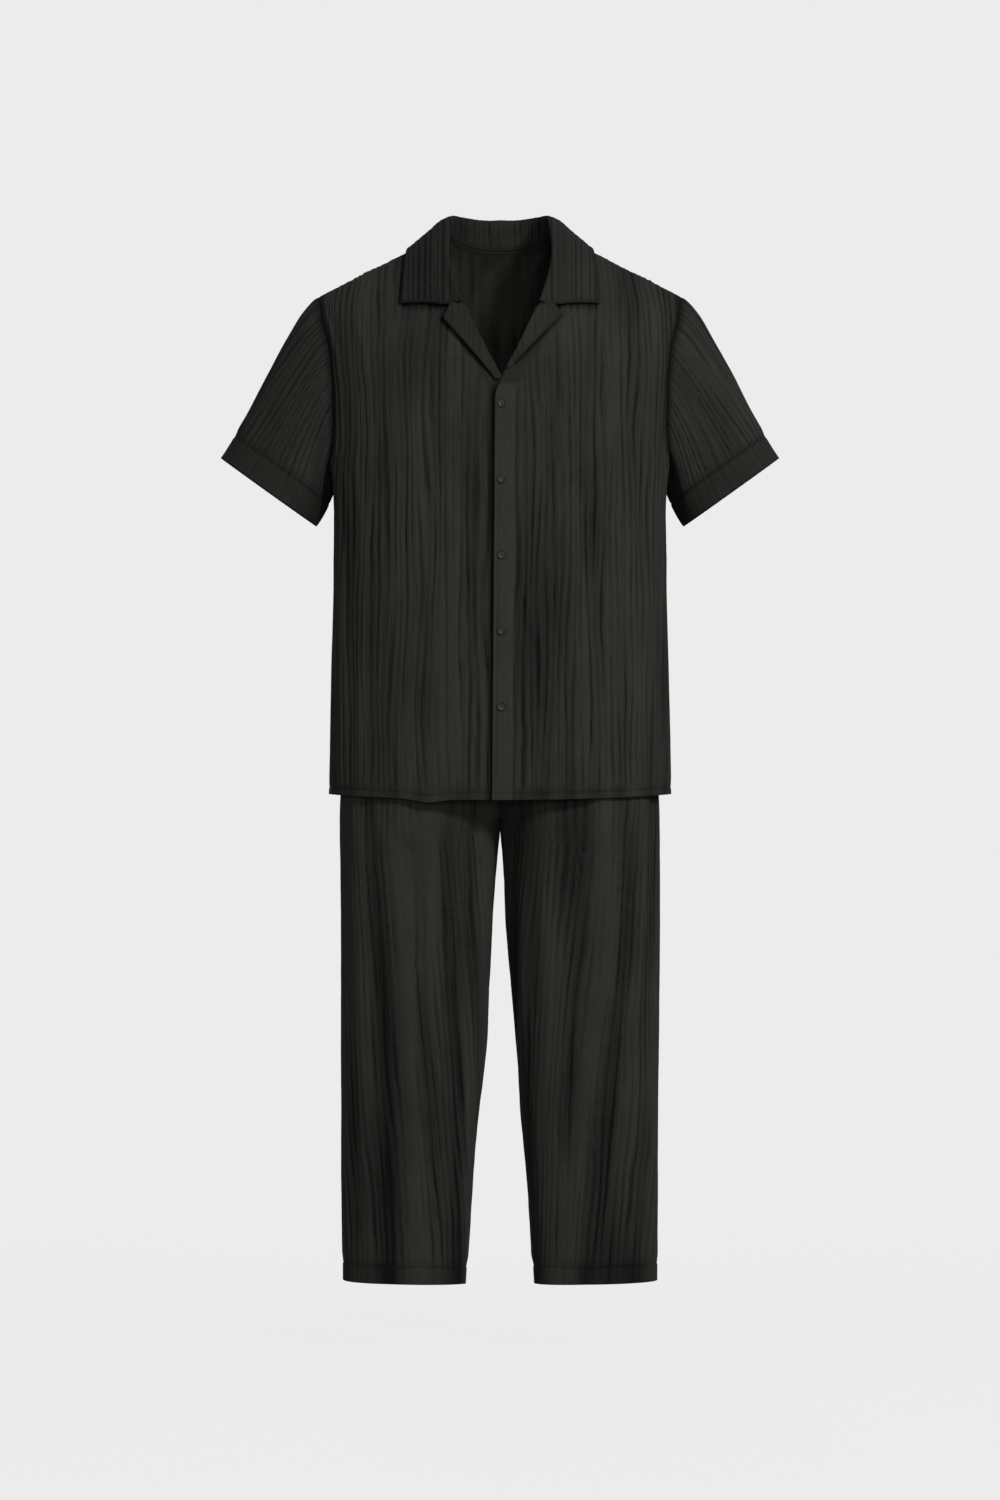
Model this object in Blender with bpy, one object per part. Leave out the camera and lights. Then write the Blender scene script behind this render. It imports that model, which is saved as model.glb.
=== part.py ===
"""Crinkled camp-collar shirt hanging over straight trousers, filled out and hollow.

Every sewn piece is one closed wall of cloth. Metres, +Z up, the front faces -Y and
+X is at the viewer's right. The origin lies midway between the high shoulder points.
Panels are worked out for the wearer's left half (+X) and turned over for the other.
"""
import math

import bmesh
import bpy
import numpy as np


def columns(names, *rows):
    """A short table: one named array for each column."""
    return dict(zip(names.split(), np.array(rows, float).T))


# Cloth
WALL = 0.0015
COLLAR_WALL = 0.0018
SEAM_GAP = 0.0003
LAY_GAP = 0.0009              # air between a piece and the panel under it

# Shirt shoulder and neck
NECK_HALF = 0.0725            # high shoulder point from the centre
NECK_RISE = 0.018             # height of the neck base at the centre
SHOULDER_HALF = 0.2437
SHOULDER_DROP = 0.087
RIDGE_Y_NECK, RIDGE_Y_SHOULDER = 0.012, 0.004
SIDE_Y = 0.008                # plane of the side seams
SECTION_POWER = 2.4           # squareness of the body's section
FRONT_ROUND, BACK_ROUND = 0.175, 0.135   # drop over which the shoulder rounds out
ROUND_LOSS = {"front": 0.26, "back": 0.078}   # how much shorter that drop gets towards the arm
CAP_ROUNDNESS = {"front": (1.5, 0.5), "back": (1.8, 0.2)}   # at the neck, and gain towards the arm
CAP_GAIN_WIDTH = 0.12         # distance from the neck over which it is gained
BACK_NECK_REACH = 0.64        # back neck seam, as a share of the back's depth
BACK_NECK_POWER = 2.2         # squareness of that seam's curve
FIRST_X, PASSES = 0.14, 5     # start and number of the passes that settle a panel's points
CAP_START = 0.86              # share of a panel's rows where the shoulder cap begins

BODY = columns(
    "z half front back",
    (-0.765, 0.2292, 0.130, 0.120),
    (-0.600, 0.2264, 0.128, 0.120),
    (-0.450, 0.2232, 0.126, 0.120),
    (-0.400, 0.2240, 0.125, 0.120),
    (-0.325, 0.2340, 0.123, 0.120),
    (-0.290, 0.2400, 0.121, 0.119),
    (-0.240, 0.2440, 0.118, 0.118),
    (-0.190, 0.2460, 0.114, 0.116),
    (-0.150, 0.2475, 0.110, 0.114),
    (-0.120, 0.2490, 0.107, 0.112),
    (-0.088, 0.2510, 0.104, 0.110),
    (0.020, 0.2560, 0.100, 0.108))

# Rows of a half panel: heights at its inner and outer edge, angle of the armhole edge
ROWS = columns(
    "row z_in z_out turn",
    (0.00, -0.760, -0.753, 0.0),
    (0.20, -0.640, -0.636, 0.0),
    (0.40, -0.500, -0.500, 0.0),
    (0.50, -0.420, -0.425, 0.0),
    (0.58, -0.360, -0.372, 0.0),
    (0.66, -0.305, -0.325, 0.0),
    (0.70, -0.275, -0.313, 13.0),
    (0.74, -0.245, -0.292, 22.5),
    (0.80, -0.205, -0.250, 26.0),
    (0.86, -0.172, -0.210, 26.6))
PIT_ROW = 0.66
CAP_EDGE = columns("turn x", (0, 0.2437), (42, 0.2390), (62, 0.2300), (81, 0.2250), (90, 0.2230))
PINCH = columns(              # how far the cloth goes in under the arm
    "z depth", (-0.440, 0.0), (-0.394, 0.0030), (-0.375, 0.0072), (-0.355, 0.0145),
    (-0.325, 0.0235), (-0.295, 0.0), (-0.270, 0.0))
PINCH_TURN = 26.0

# Inner edge of each front: across the centre line, by cap angle and by height
NECK_UPPER = columns("turn x", (0, 0.0725), (30, 0.0715), (44, 0.0675), (52, 0.0625),
                     (61.5, 0.0545), (63.5, 0.0475), (70.5, 0.0402), (78.3, 0.0319),
                     (83.7, 0.0265), (90, 0.0221))
EDGE_UPPER = columns("z x", (-0.760, -0.0107), (-0.400, -0.0080), (-0.225, -0.0067),
                     (-0.209, -0.0016), (-0.193, 0.0059), (-0.172, 0.0149), (-0.158, 0.0221))
NECK_UNDER = columns("turn x", (0, 0.0725), (30, 0.0715), (44, 0.0675), (52, 0.0615),
                     (61.5, 0.0528), (63.5, 0.0453), (70.5, 0.0368), (78.3, 0.0281),
                     (83.7, 0.0228), (90, 0.0186))
EDGE_UNDER = columns("z x", (-0.760, -0.0120), (-0.225, -0.0120), (-0.209, -0.0080),
                     (-0.195, 0.0001), (-0.172, 0.0116), (-0.158, 0.0186))
UNDER_DEPTH = 0.0036          # how far the under front lies behind the upper one
UNDER_START, UNDER_FULL = 0.0180, 0.0060
UNDER_TOP, UNDER_FADE = -0.150, 0.040    # height at which it begins, and over which it grows

# Folds: place across the panel, rows between which it stands, height, side sway
FOLD_FADE = 0.10              # rows over which a fold rises from the plain cloth
SWAY_DOWN, SWAY_ACROSS = 9.0, 11.0
UNEVEN_DOWN, UNEVEN_ACROSS, UNEVEN_SHARE = 13.0, 7.0, 0.25
UNDER_WAVE, BACK_WAVE = 1.3, 0.8
FOLDS_UPPER = columns(
    "across low high rise sway",
    (0.115, 0.05, 0.55, 0.0008, 0.004), (0.200, 0.10, 0.90, 0.0013, 0.006),
    (0.285, 0.02, 0.80, 0.0012, 0.005), (0.370, 0.20, 0.97, 0.0014, 0.007),
    (0.460, 0.04, 0.93, 0.0016, 0.006), (0.550, 0.15, 0.98, 0.0020, 0.008),
    (0.640, 0.02, 0.96, 0.0016, 0.006), (0.740, 0.10, 0.92, 0.0018, 0.008),
    (0.850, 0.00, 0.94, 0.0014, 0.005))
FOLDS_UNDER = columns(
    "across low high rise sway",
    (0.140, 0.10, 0.70, 0.0009, 0.005), (0.225, 0.03, 0.85, 0.0012, 0.006),
    (0.310, 0.15, 0.96, 0.0014, 0.005), (0.400, 0.02, 0.88, 0.0013, 0.007),
    (0.490, 0.12, 0.97, 0.0014, 0.006), (0.580, 0.04, 0.90, 0.0013, 0.005),
    (0.670, 0.18, 0.98, 0.0016, 0.008), (0.765, 0.02, 0.94, 0.0018, 0.006),
    (0.865, 0.08, 0.92, 0.0014, 0.005))
FOLDS_BACK = columns(
    "across low high rise sway",
    (0.000, 0.05, 0.86, 0.0010, 0.003), (0.055, 0.00, 0.80, 0.0006, 0.002),
    (0.110, 0.08, 0.94, 0.0014, 0.003), (0.220, 0.10, 0.97, 0.0012, 0.005),
    (0.330, 0.02, 0.92, 0.0016, 0.006),
    (0.435, 0.15, 0.98, 0.0013, 0.005), (0.540, 0.04, 0.95, 0.0017, 0.008),
    (0.650, 0.10, 0.97, 0.0013, 0.006), (0.755, 0.00, 0.92, 0.0016, 0.006),
    (0.865, 0.06, 0.94, 0.0013, 0.005))

# Sleeve
CUFF_OUTER = (0.3740, -0.3030)
CUFF_INNER = (0.2466, -0.3940)
CUFF_DEPTH = 0.055
CUFF_Y = 0.006
CUFF_POWER = 2.15
CAP_PULL, PIT_PULL, ARM_PULL = 0.40, 0.60, 0.85   # how far each end's direction lasts
SLEEVE_START = columns(       # direction in which the sleeve leaves the armhole
    "down x y z", (0.00, 0.894, 0.00, -0.447), (0.30, 0.86, 0.18, -0.48),
    (0.60, 0.76, 0.20, -0.62), (0.85, 0.68, 0.12, -0.72), (1.00, 0.58, 0.0, -0.81))
SLEEVE_ROWS = np.array([0.0, 0.06, 0.14, 0.25, 0.38, 0.52, 0.68, 0.84, 1.0])
SLEEVE_FOLD_RISE = 0.0014
SLEEVE_FOLD_IN, SLEEVE_FOLD_OUT, SLEEVE_FOLD_UNDER = 0.25, 0.18, 0.3
SLEEVE_UNDER = (0.68, 0.0, -0.73)        # direction in which the underarm reaches the cuff
ARMHOLE_GAP = 0.0012

# Collar, by share of the neckline from the back's centre
COLLAR_EDGE = columns(        # cap angle (front positive, back negative) and x of the outer edge
    "share turn x", (0.00, -56, 0.0), (0.20, -53, 0.040), (0.35, -44, 0.075), (0.50, -26, 0.104),
    (0.62, -8, 0.118), (0.78, 20, 0.1255), (0.90, 40.5, 0.1290), (1.00, 54.0, 0.1315))
COLLAR_FALL = (0.06, 0.25, 0.50, 0.76, 1.0)
COLLAR_CLEAR = 0.0030
COLLAR_FOOT_GAP = 0.0007
FOLD_WIDTH = 0.0045
FOLD_CROWN = 0.0016
FOLD_LEAN_BACK = 0.4          # share of the fold's width by which the crown leans out
STAND_PLACES = (0.0, 0.5, 0.85)
FORWARD_START = 0.45          # share of the neckline from which the stand tips forward
LIFT_RATE, FALL_RATE = 3.0, 0.85
STAND = columns(              # height and inward lean of the fold, by share of the neckline
    "share height lean", (0.0, 0.0396, 0.006), (0.16, 0.0366, 0.007), (0.32, 0.0280, 0.0115),
    (0.49, 0.0172, 0.0085), (0.75, 0.0120, 0.0045), (1.0, 0.0050, 0.0055))
COLLAR_GORGE_TURN = 61.5      # cap angle at which the collar ends on the front

# Panels are plain under the collar and lapels: lowest height, greatest x, width of the change
COLLAR_COVER, LAPEL_COVER = (-0.125, 0.155), (-0.220, 0.100)
COVER_FADE = 0.02
BACK_COVER, BACK_FADE = -0.10, 0.03

# Lapels: inner (roll) and outer edge by height
LAPEL_UNDER = columns(
    "z roll edge", (-0.1035, 0.0530, 0.0640), (-0.1234, 0.0385, 0.0745), (-0.1420, 0.0285, 0.0581),
    (-0.1690, 0.0150, 0.0343), (-0.2030, -0.0008, 0.0058))
LAPEL_UPPER = columns(
    "z roll edge", (-0.1030, 0.0530, 0.0711), (-0.1181, 0.0435, 0.0815), (-0.1420, 0.0325, 0.0582),
    (-0.1690, 0.0190, 0.0318), (-0.1890, 0.0080, 0.0128))

LAPEL_STEPS = 2               # rows between two turns of the lapel's edge
LAPEL_COLUMNS = 5

# Buttons
BUTTON_DIAMETER = 0.0128
BUTTON_HEIGHT = 0.0024
BUTTON_COUNT = 5
BUTTON_TOP_Z, BUTTON_STEP = -0.2350, 0.1003
BUTTON_X = 0.0027
BUTTON_SIDES = 14
BUTTON_ROUGHNESS = 0.45
BUTTON_SPAN = 0.004           # distance over which the slope of the front is taken
BUTTON_PROFILE = columns("radius height", (0.72, 0.0), (1.0, 0.35), (1.0, 0.75), (0.88, 1.0),
                         (0.62, 0.62))

# Trousers
WAIST_TOP, WAISTBAND = -0.480, 0.0350
FORK_START, FORK_Z = -0.600, -0.787
FORK_OUTER_Z = -0.860         # height at the side seam of the row that ends at the fork
LEG_POWER = 2.25
HIP_SPLIT = -0.560            # height below which the two legs begin to part
FORK_CURVE_FRONT, FORK_CURVE_BACK = 3.0, 2.4
FORK_DROP = 0.8               # how soon the rows drop towards the fork
FORK_LIMIT = 0.9995           # greatest reach of a row above the fork
HIP_SPREAD = 0.62             # how far the rows draw towards the side above the fork
LEG_CENTRE, HIP_CENTRE, CENTRE_Y = 0.115, 0.05, 0.004
LEG_WAVE, LEG_WAVE_STEP = 0.9, 0.2
WAISTBAND_WALL = 0.0025
WAISTBAND_ROWS, WAISTBAND_TURN = 3, 12
TROUSERS = columns(
    "z outer inner front back middle",
    (-1.4080, 0.2107, 0.0463, 0.0530, 0.0530, 0.012),
    (-1.3065, 0.2110, 0.0405, 0.0590, 0.0600, 0.013),
    (-1.2140, 0.2114, 0.0325, 0.0660, 0.0680, 0.014),
    (-1.1150, 0.2120, 0.0230, 0.0745, 0.0780, 0.014),
    (-1.0300, 0.2125, 0.0167, 0.0815, 0.0860, 0.013),
    (-0.9000, 0.2133, 0.0085, 0.0920, 0.0971, 0.010),
    (-0.8300, 0.2135, 0.0040, 0.0970, 0.1018, 0.007),
    (-0.7870, 0.2136, 0.0006, 0.1010, 0.1066, 0.005),
    (-0.7000, 0.2090, 0.0, 0.1060, 0.1095, 0.004),
    (-0.6000, 0.1950, 0.0, 0.1100, 0.1070, 0.004),
    (-0.5500, 0.1780, 0.0, 0.1100, 0.1060, 0.004),
    (-0.4800, 0.1640, 0.0, 0.1080, 0.1040, 0.004))
LEG_HEM_OUTER, LEG_HEM_INNER = -1.4041, -1.4095
LEG_ROWS = 12
FORK_ROWS = 6
HIP_ROWS = 3
FOLDS_LEG_FRONT = columns(
    "across low high rise sway",
    (0.130, 0.00, 0.90, 0.0016, 0.004), (0.260, 0.10, 0.98, 0.0022, 0.005),
    (0.400, 0.00, 0.80, 0.0018, 0.006), (0.530, 0.06, 0.97, 0.0026, 0.005),
    (0.665, 0.02, 0.70, 0.0020, 0.006), (0.815, 0.00, 0.66, 0.0015, 0.004))
FOLDS_LEG_BACK = columns(
    "across low high rise sway",
    (0.150, 0.00, 0.95, 0.0015, 0.005), (0.300, 0.05, 0.90, 0.0021, 0.005),
    (0.450, 0.00, 0.97, 0.0018, 0.006), (0.620, 0.04, 0.72, 0.0024, 0.005),
    (0.800, 0.00, 0.62, 0.0016, 0.004))

CLOTH_COLOUR = (0.020, 0.020, 0.018, 1.0)
BUTTON_COLOUR = (0.014, 0.014, 0.013, 1.0)


def smooth(table, column, at, key=None):
    """Smooth curve through one column of a table, without overshoot."""
    key = key or next(iter(table))
    x, y = table[key], table[column]
    slope = np.diff(y) / np.diff(x)
    tangent = np.zeros_like(y)
    left, right = slope[:-1], slope[1:]
    same = left * right > 0
    tangent[1:-1][same] = 2 * left[same] * right[same] / (left[same] + right[same])
    tangent[0], tangent[-1] = slope[0], slope[-1]
    at = np.clip(np.asarray(at, float), x[0], x[-1])
    k = np.clip(np.searchsorted(x, at, side="right") - 1, 0, len(slope) - 1)
    width = x[k + 1] - x[k]
    t = (at - x[k]) / width
    return ((1 + 2 * t) * (1 - t) ** 2 * y[k] + t * (1 - t) ** 2 * width * tangent[k]
            + t * t * (3 - 2 * t) * y[k + 1] + t * t * (t - 1) * width * tangent[k + 1])


def ease(t):
    """Soft step from 0 to 1."""
    t = np.clip(t, 0.0, 1.0)
    return t * t * (3 - 2 * t)


def power(value, exponent):
    """Power that keeps the sign."""
    return np.sign(value) * np.abs(value) ** exponent


def ridge_z(x):
    """Height of the shoulder line, carried on over the neck as a low crown."""
    x = np.abs(x)
    slope = SHOULDER_DROP / (SHOULDER_HALF - NECK_HALF)
    return np.where(x > NECK_HALF, -slope * (x - NECK_HALF), NECK_RISE * (1 - (x / NECK_HALF) ** 2))


def ridge_y(x):
    share = np.clip((np.abs(x) - NECK_HALF) / (SHOULDER_HALF - NECK_HALF), 0, 1)
    return RIDGE_Y_NECK + (RIDGE_Y_SHOULDER - RIDGE_Y_NECK) * share


def cap(face, x):
    """Drop and roundness of the shoulder cap at x."""
    full = FRONT_ROUND if face == "front" else BACK_ROUND
    out = np.clip(np.abs(x) - NECK_HALF, 0, None)
    start, gain = CAP_ROUNDNESS[face]
    return full - ROUND_LOSS[face] * out, start + gain * np.clip(out / CAP_GAIN_WIDTH, 0, 1)


def body_y(face, x, z):
    """Depth of the shirt's surface over a point of the front view."""
    half, depth = smooth(BODY, "half", z), smooth(BODY, face, z)
    sign = -1.0 if face == "front" else 1.0
    inside = np.clip(1 - np.abs(x / half) ** SECTION_POWER, 0, 1)
    low = SIDE_Y + sign * depth * inside ** (1 / SECTION_POWER)
    drop, roundness = cap(face, x)
    t = np.clip((ridge_z(x) - z) / drop, 0, 1)
    full = (1 - (1 - t) ** roundness) ** (1 / roundness)
    return ridge_y(x) + (low - ridge_y(x)) * full


def cap_z(face, x, turn):
    """Height on the shoulder cap, turned from the ridge (0) to the chest (90 degrees)."""
    drop, roundness = cap(face, x)
    return ridge_z(x) - drop * (1 - np.cos(np.radians(turn)) ** (2 / roundness))


def section_turn(x, half):
    """Angle round the section, 90 degrees at the centre and 0 at the side."""
    return np.degrees(np.arccos(np.clip(power(x / half, SECTION_POWER / 2), -1, 1)))


def back_neck_turn(x):
    """Cap angle at which the back panel ends at the neck seam."""
    inside = np.clip(1 - np.abs(x / NECK_HALF) ** BACK_NECK_POWER, 0, 1)
    reach = BACK_NECK_REACH * inside ** (1 / BACK_NECK_POWER)
    drop, roundness = cap("back", x)
    return np.degrees(np.arcsin(reach ** (roundness / 2)))


def torso(face, s, row, neck=None, edge=None):
    """Points of half a shirt panel; s runs from the inner edge to the side."""
    s, row = np.broadcast_arrays(np.asarray(s, float), np.asarray(row, float))
    lifted = row > CAP_START
    share = np.clip((row - CAP_START) / (1 - CAP_START), 0, 1)
    turn = 90.0 * (1 - share)
    z_in, z_out = smooth(ROWS, "z_in", row), smooth(ROWS, "z_out", row)
    x = FIRST_X * np.ones_like(s)
    for _ in range(PASSES):
        if face == "back":
            turn = 90.0 - (90.0 - back_neck_turn(x)) * share
        z = np.where(lifted, cap_z(face, x, turn), z_in + (z_out - z_in) * ease(s))
        half = smooth(BODY, "half", z)
        if neck is None:
            x_in = np.zeros_like(s)
        else:
            x_in = np.where(lifted, smooth(neck, "x", turn), smooth(edge, "x", z_in))
        start = section_turn(x_in, half)
        end_cap = section_turn(smooth(CAP_EDGE, "x", 90.0 * (1 - share)), half)
        end = np.where(lifted, end_cap, smooth(ROWS, "turn", row))
        around = start * (1 - s) + end * s ** 3
        x = half * power(np.cos(np.radians(around)), 2 / SECTION_POWER)
    y = body_y(face, x, z)
    pinch = smooth(PINCH, "depth", z) * np.clip(1 - around / PINCH_TURN, 0, 1) ** 2
    x = x - np.where(lifted, 0, pinch)
    return np.stack([x, y, z], axis=-1)


def normals(grid, outward):
    """Unit normals of a grid of points, turned to the side of outward."""
    rows = np.gradient(grid, axis=0)
    cols = np.gradient(grid, axis=1)
    cross = np.cross(rows, cols)
    cross /= np.maximum(np.linalg.norm(cross, axis=-1, keepdims=True), 1e-12)
    if np.sum(cross * outward) < 0:
        cross = -cross
    return cross


def unit(vectors):
    vectors = np.asarray(vectors, float)
    return vectors / np.linalg.norm(vectors, axis=-1, keepdims=True)


def fold_columns(folds, rows, wave=1.0):
    """Places across a panel for its ridges and valleys, and how high each stands."""
    across = folds["across"]
    middle = (across[1:] + across[:-1]) / 2
    first = [] if across[0] == 0 else [across[0] / 2]
    places = np.concatenate([first, across, middle, [(1 + across[-1]) / 2]])
    rise = np.concatenate([np.zeros(len(first)), folds["rise"], np.zeros(len(middle) + 1)])
    low = np.concatenate([np.zeros(len(first)), folds["low"], np.zeros(len(middle) + 1)])
    high = np.concatenate([np.ones(len(first)), folds["high"], np.ones(len(middle) + 1)])
    order = np.argsort(places)
    places, rise, low, high = places[order], rise[order], low[order], high[order]
    places = np.concatenate([[0.0] if places[0] > 0 else [], places, [1.0]])
    pad = len(places) - len(rise) - 1
    rise = np.concatenate([np.zeros(pad), rise, [0.0]])
    low = np.concatenate([np.zeros(pad), low, [0.0]])
    high = np.concatenate([np.ones(pad), high, [1.0]])
    sway = float(np.mean(folds["sway"]))
    row = np.asarray(rows)[:, None]
    shift = sway * np.sin(wave * SWAY_DOWN * row + SWAY_ACROSS * places[None, :])
    shift = shift * np.sin(np.pi * places[None, :]) if places[0] == 0 else shift
    stand = np.clip((row - low) / FOLD_FADE, 0, 1) * np.clip((high - row) / FOLD_FADE, 0, 1)
    uneven = np.sin(UNEVEN_DOWN * row + UNEVEN_ACROSS * places[None, :])
    return places[None, :] + shift, rise * ease(stand) * (1 - UNEVEN_SHARE + UNEVEN_SHARE * uneven)


def pull(grid, edge, gap=SEAM_GAP):
    """Move one edge of a grid back along its own surface by half a seam gap."""
    index = {"first_row": (0, 1), "last_row": (-1, -2)}.get(edge)
    if index:
        step = unit(grid[index[1]] - grid[index[0]])
        grid[index[0]] = grid[index[0]] + step * gap / 2
        return
    near, far = {"first_col": (0, 1), "last_col": (-1, -2)}[edge]
    step = unit(grid[:, far] - grid[:, near])
    grid[:, near] = grid[:, near] + step * gap / 2


def thin(count, keep=()):
    """Every second line of a grid, with both ends and the lines to keep."""
    return sorted(set(range(0, count, 2)) | {count - 1} | {k % count for k in keep})


def halves(a, b, c, d, turned=False):
    """Both triangles of a four-sided cell, cut along the same diagonal on each surface."""
    return [(a, c, b), (a, d, c)] if turned else [(a, b, c), (a, c, d)]


def wall(name, outer, inner, colour, rows=None, cols=None, tube=False):
    """Closed wall between an outer grid and a sparser inner grid."""
    count_r, count_c = outer.shape[:2]
    rows = list(range(count_r)) if rows is None else rows
    cols = list(range(count_c)) if cols is None else cols
    points = [tuple(p) for p in outer.reshape(-1, 3)]
    inner_index = {}
    for r in rows:
        for c in cols:
            inner_index[r, c] = len(points)
            points.append(tuple(inner[r, c]))
    faces = []
    wrap = 1 if tube else 0
    for r in range(count_r - 1):
        for c in range(count_c - 1 + wrap):
            d = (c + 1) % count_c
            faces += halves(r * count_c + c, r * count_c + d, (r + 1) * count_c + d, (r + 1) * count_c + c)
    col_pairs = list(zip(cols, cols[1:])) + ([(cols[-1], cols[0])] if tube else [])
    for r, s in zip(rows, rows[1:]):
        for c, d in col_pairs:
            faces += halves(inner_index[r, c], inner_index[r, d], inner_index[s, d],
                            inner_index[s, c], True)
    for r in (0, count_r - 1):
        for c, d in col_pairs:
            stop = d if d > c else d + count_c
            run = [r * count_c + k % count_c for k in range(c, stop + 1)]
            faces.append(tuple(run + [inner_index[r, d], inner_index[r, c]]))
    if not tube:
        for c in (0, count_c - 1):
            for r, s in zip(rows, rows[1:]):
                run = [k * count_c + c for k in range(r, s + 1)]
                faces.append(tuple(run + [inner_index[s, c], inner_index[r, c]]))
    return solid(name, points, faces, colour)


def solid(name, points, faces, colour, roughness=0.92):
    mesh = bpy.data.meshes.new(name)
    mesh.from_pydata([tuple(map(float, p)) for p in points], [], faces)
    bm = bmesh.new()
    bm.from_mesh(mesh)
    bmesh.ops.triangulate(bm, faces=[f for f in bm.faces if len(f.verts) > 4])
    bmesh.ops.recalc_face_normals(bm, faces=bm.faces)
    bm.to_mesh(mesh)
    bm.free()
    mesh.shade_smooth()
    mesh.set_sharp_from_angle(angle=math.radians(50))
    material = bpy.data.materials.new(name + "_cloth")
    material.use_nodes = True
    shader = material.node_tree.nodes["Principled BSDF"]
    shader.inputs["Base Color"].default_value = colour
    shader.inputs["Roughness"].default_value = roughness
    mesh.materials.append(material)
    piece = bpy.data.objects.new(name, mesh)
    bpy.context.scene.collection.objects.link(piece)
    return piece


def mirrored(grid, side):
    """The same grid on the wearer's left (+1) or right (-1)."""
    return grid * np.array([side, 1.0, 1.0])


def outward_from(grid, centre_y=0.0):
    """Rough outward directions of a piece that goes round the body."""
    out = grid.copy()
    out[..., 1] -= centre_y
    out[..., 2] = 0.0
    return out


def row_places():
    """Rows of a shirt panel, close together at the armhole and over the shoulder."""
    low = np.linspace(0.0, 0.50, 8)
    pit = np.array([0.545, 0.585, 0.625, PIT_ROW])
    hole = np.array([0.675, 0.695, 0.72, 0.755, 0.80, CAP_START])
    share = np.array([0.13, 0.25, COLLAR_GORGE_ROW, 0.44, 0.53, 0.62, 0.71, 0.80, 0.89, 1.0])
    return np.concatenate([low, pit, hole[:-1], [CAP_START], CAP_START + (1 - CAP_START) * share])


NECK_COLUMNS = 4              # columns of half the back panel that end at the neck seam
STRETCH_START = 0.6           # row from which they draw together towards it
NECK_TRY, NECK_TRIES = 0.4, 1601
COLLAR_GORGE_ROW = (90.0 - COLLAR_GORGE_TURN) / 90.0
ROW_PLACES = row_places()
PIT_INDEX = int(np.argmin(np.abs(ROW_PLACES - PIT_ROW)))
GORGE_INDEX = int(np.argmin(np.abs(ROW_PLACES - CAP_START - (1 - CAP_START) * COLLAR_GORGE_ROW)))


class Panel:
    """Outer points, inner points and normals of one panel before its seams are parted."""

    def __init__(self, plain, rise, outward, thickness=WALL):
        self.plain = plain
        self.normal = normals(plain, outward)
        self.inward = -self.normal
        self.rise = rise
        self.thickness = thickness

    def surfaces(self):
        outer = self.plain + self.normal * self.rise[..., None]
        return outer, self.plain + self.inward * self.thickness


def front_panel(side, folds, neck, edge):
    """One front, as a panel with its folds; side is +1 at the wearer's left."""
    s, rise = fold_columns(folds, ROW_PLACES, 1.0 if side > 0 else UNDER_WAVE)
    plain = torso("front", s, ROW_PLACES[:, None], neck, edge)
    panel = Panel(plain, rise, outward_from(plain))
    if side < 0:
        depth = UNDER_DEPTH * ease((UNDER_START - plain[..., 0]) / (UNDER_START - UNDER_FULL))
        depth = depth * ease((UNDER_TOP - plain[..., 2]) / UNDER_FADE)
        panel.plain = plain - panel.normal * depth[..., None]
    return panel


def back_panel():
    """The whole back, from the wearer's right side seam to the left one."""
    s, rise = fold_columns(FOLDS_BACK, ROW_PLACES, BACK_WAVE)
    stretch = ease((ROW_PLACES - STRETCH_START) / (1 - STRETCH_START))
    for column in range(1, NECK_COLUMNS + 1):
        goal = neck_share(NECK_HALF * math.sin(math.pi / 2 * column / NECK_COLUMNS))
        s[:, column] += (goal - s[:, column]) * stretch
    half = torso("back", s, ROW_PLACES[:, None])
    half[-1, NECK_COLUMNS] = (NECK_HALF, RIDGE_Y_NECK, 0.0)
    plain = np.concatenate([mirrored(half[:, :0:-1], -1), half], axis=1)
    rise = np.concatenate([rise[:, :0:-1], rise], axis=1)
    return Panel(plain, rise, outward_from(plain))


def neck_share(goal):
    """Share across the back at which its top edge is goal from the centre."""
    tries = np.linspace(0.0, NECK_TRY, NECK_TRIES)
    x = torso("back", tries, 1.0)[:, 0]
    return float(np.interp(goal, x, tries))


def shared_edge(first, second):
    """One ending direction for two walls that meet at a seam."""
    return unit(unit(first) + unit(second))


def sleeve_ring(front, back):
    """Armhole loop: up the front, over the shoulder and down the back."""
    top = (front[-1] + back[-1]) / 2
    pit = (front[0] + back[0]) / 2
    return np.concatenate([[pit], front[1:-1], [top], back[-2:0:-1]])


def ring_places(ring, count_front):
    """Share from the shoulder (0) to the armpit (1) and side (-1 front, +1 back)."""
    closed = np.concatenate([ring, ring[:1]])
    steps = np.linalg.norm(np.diff(closed, axis=0), axis=1)
    along = np.concatenate([[0], np.cumsum(steps)])
    top = along[count_front]
    front = 1 - along[:count_front + 1] / top
    back = (along[count_front + 1:-1] - top) / (along[-1] - top)
    share = np.concatenate([front, back])
    side = np.concatenate([-np.ones(count_front + 1), np.ones(len(back))])
    return share, side


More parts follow.
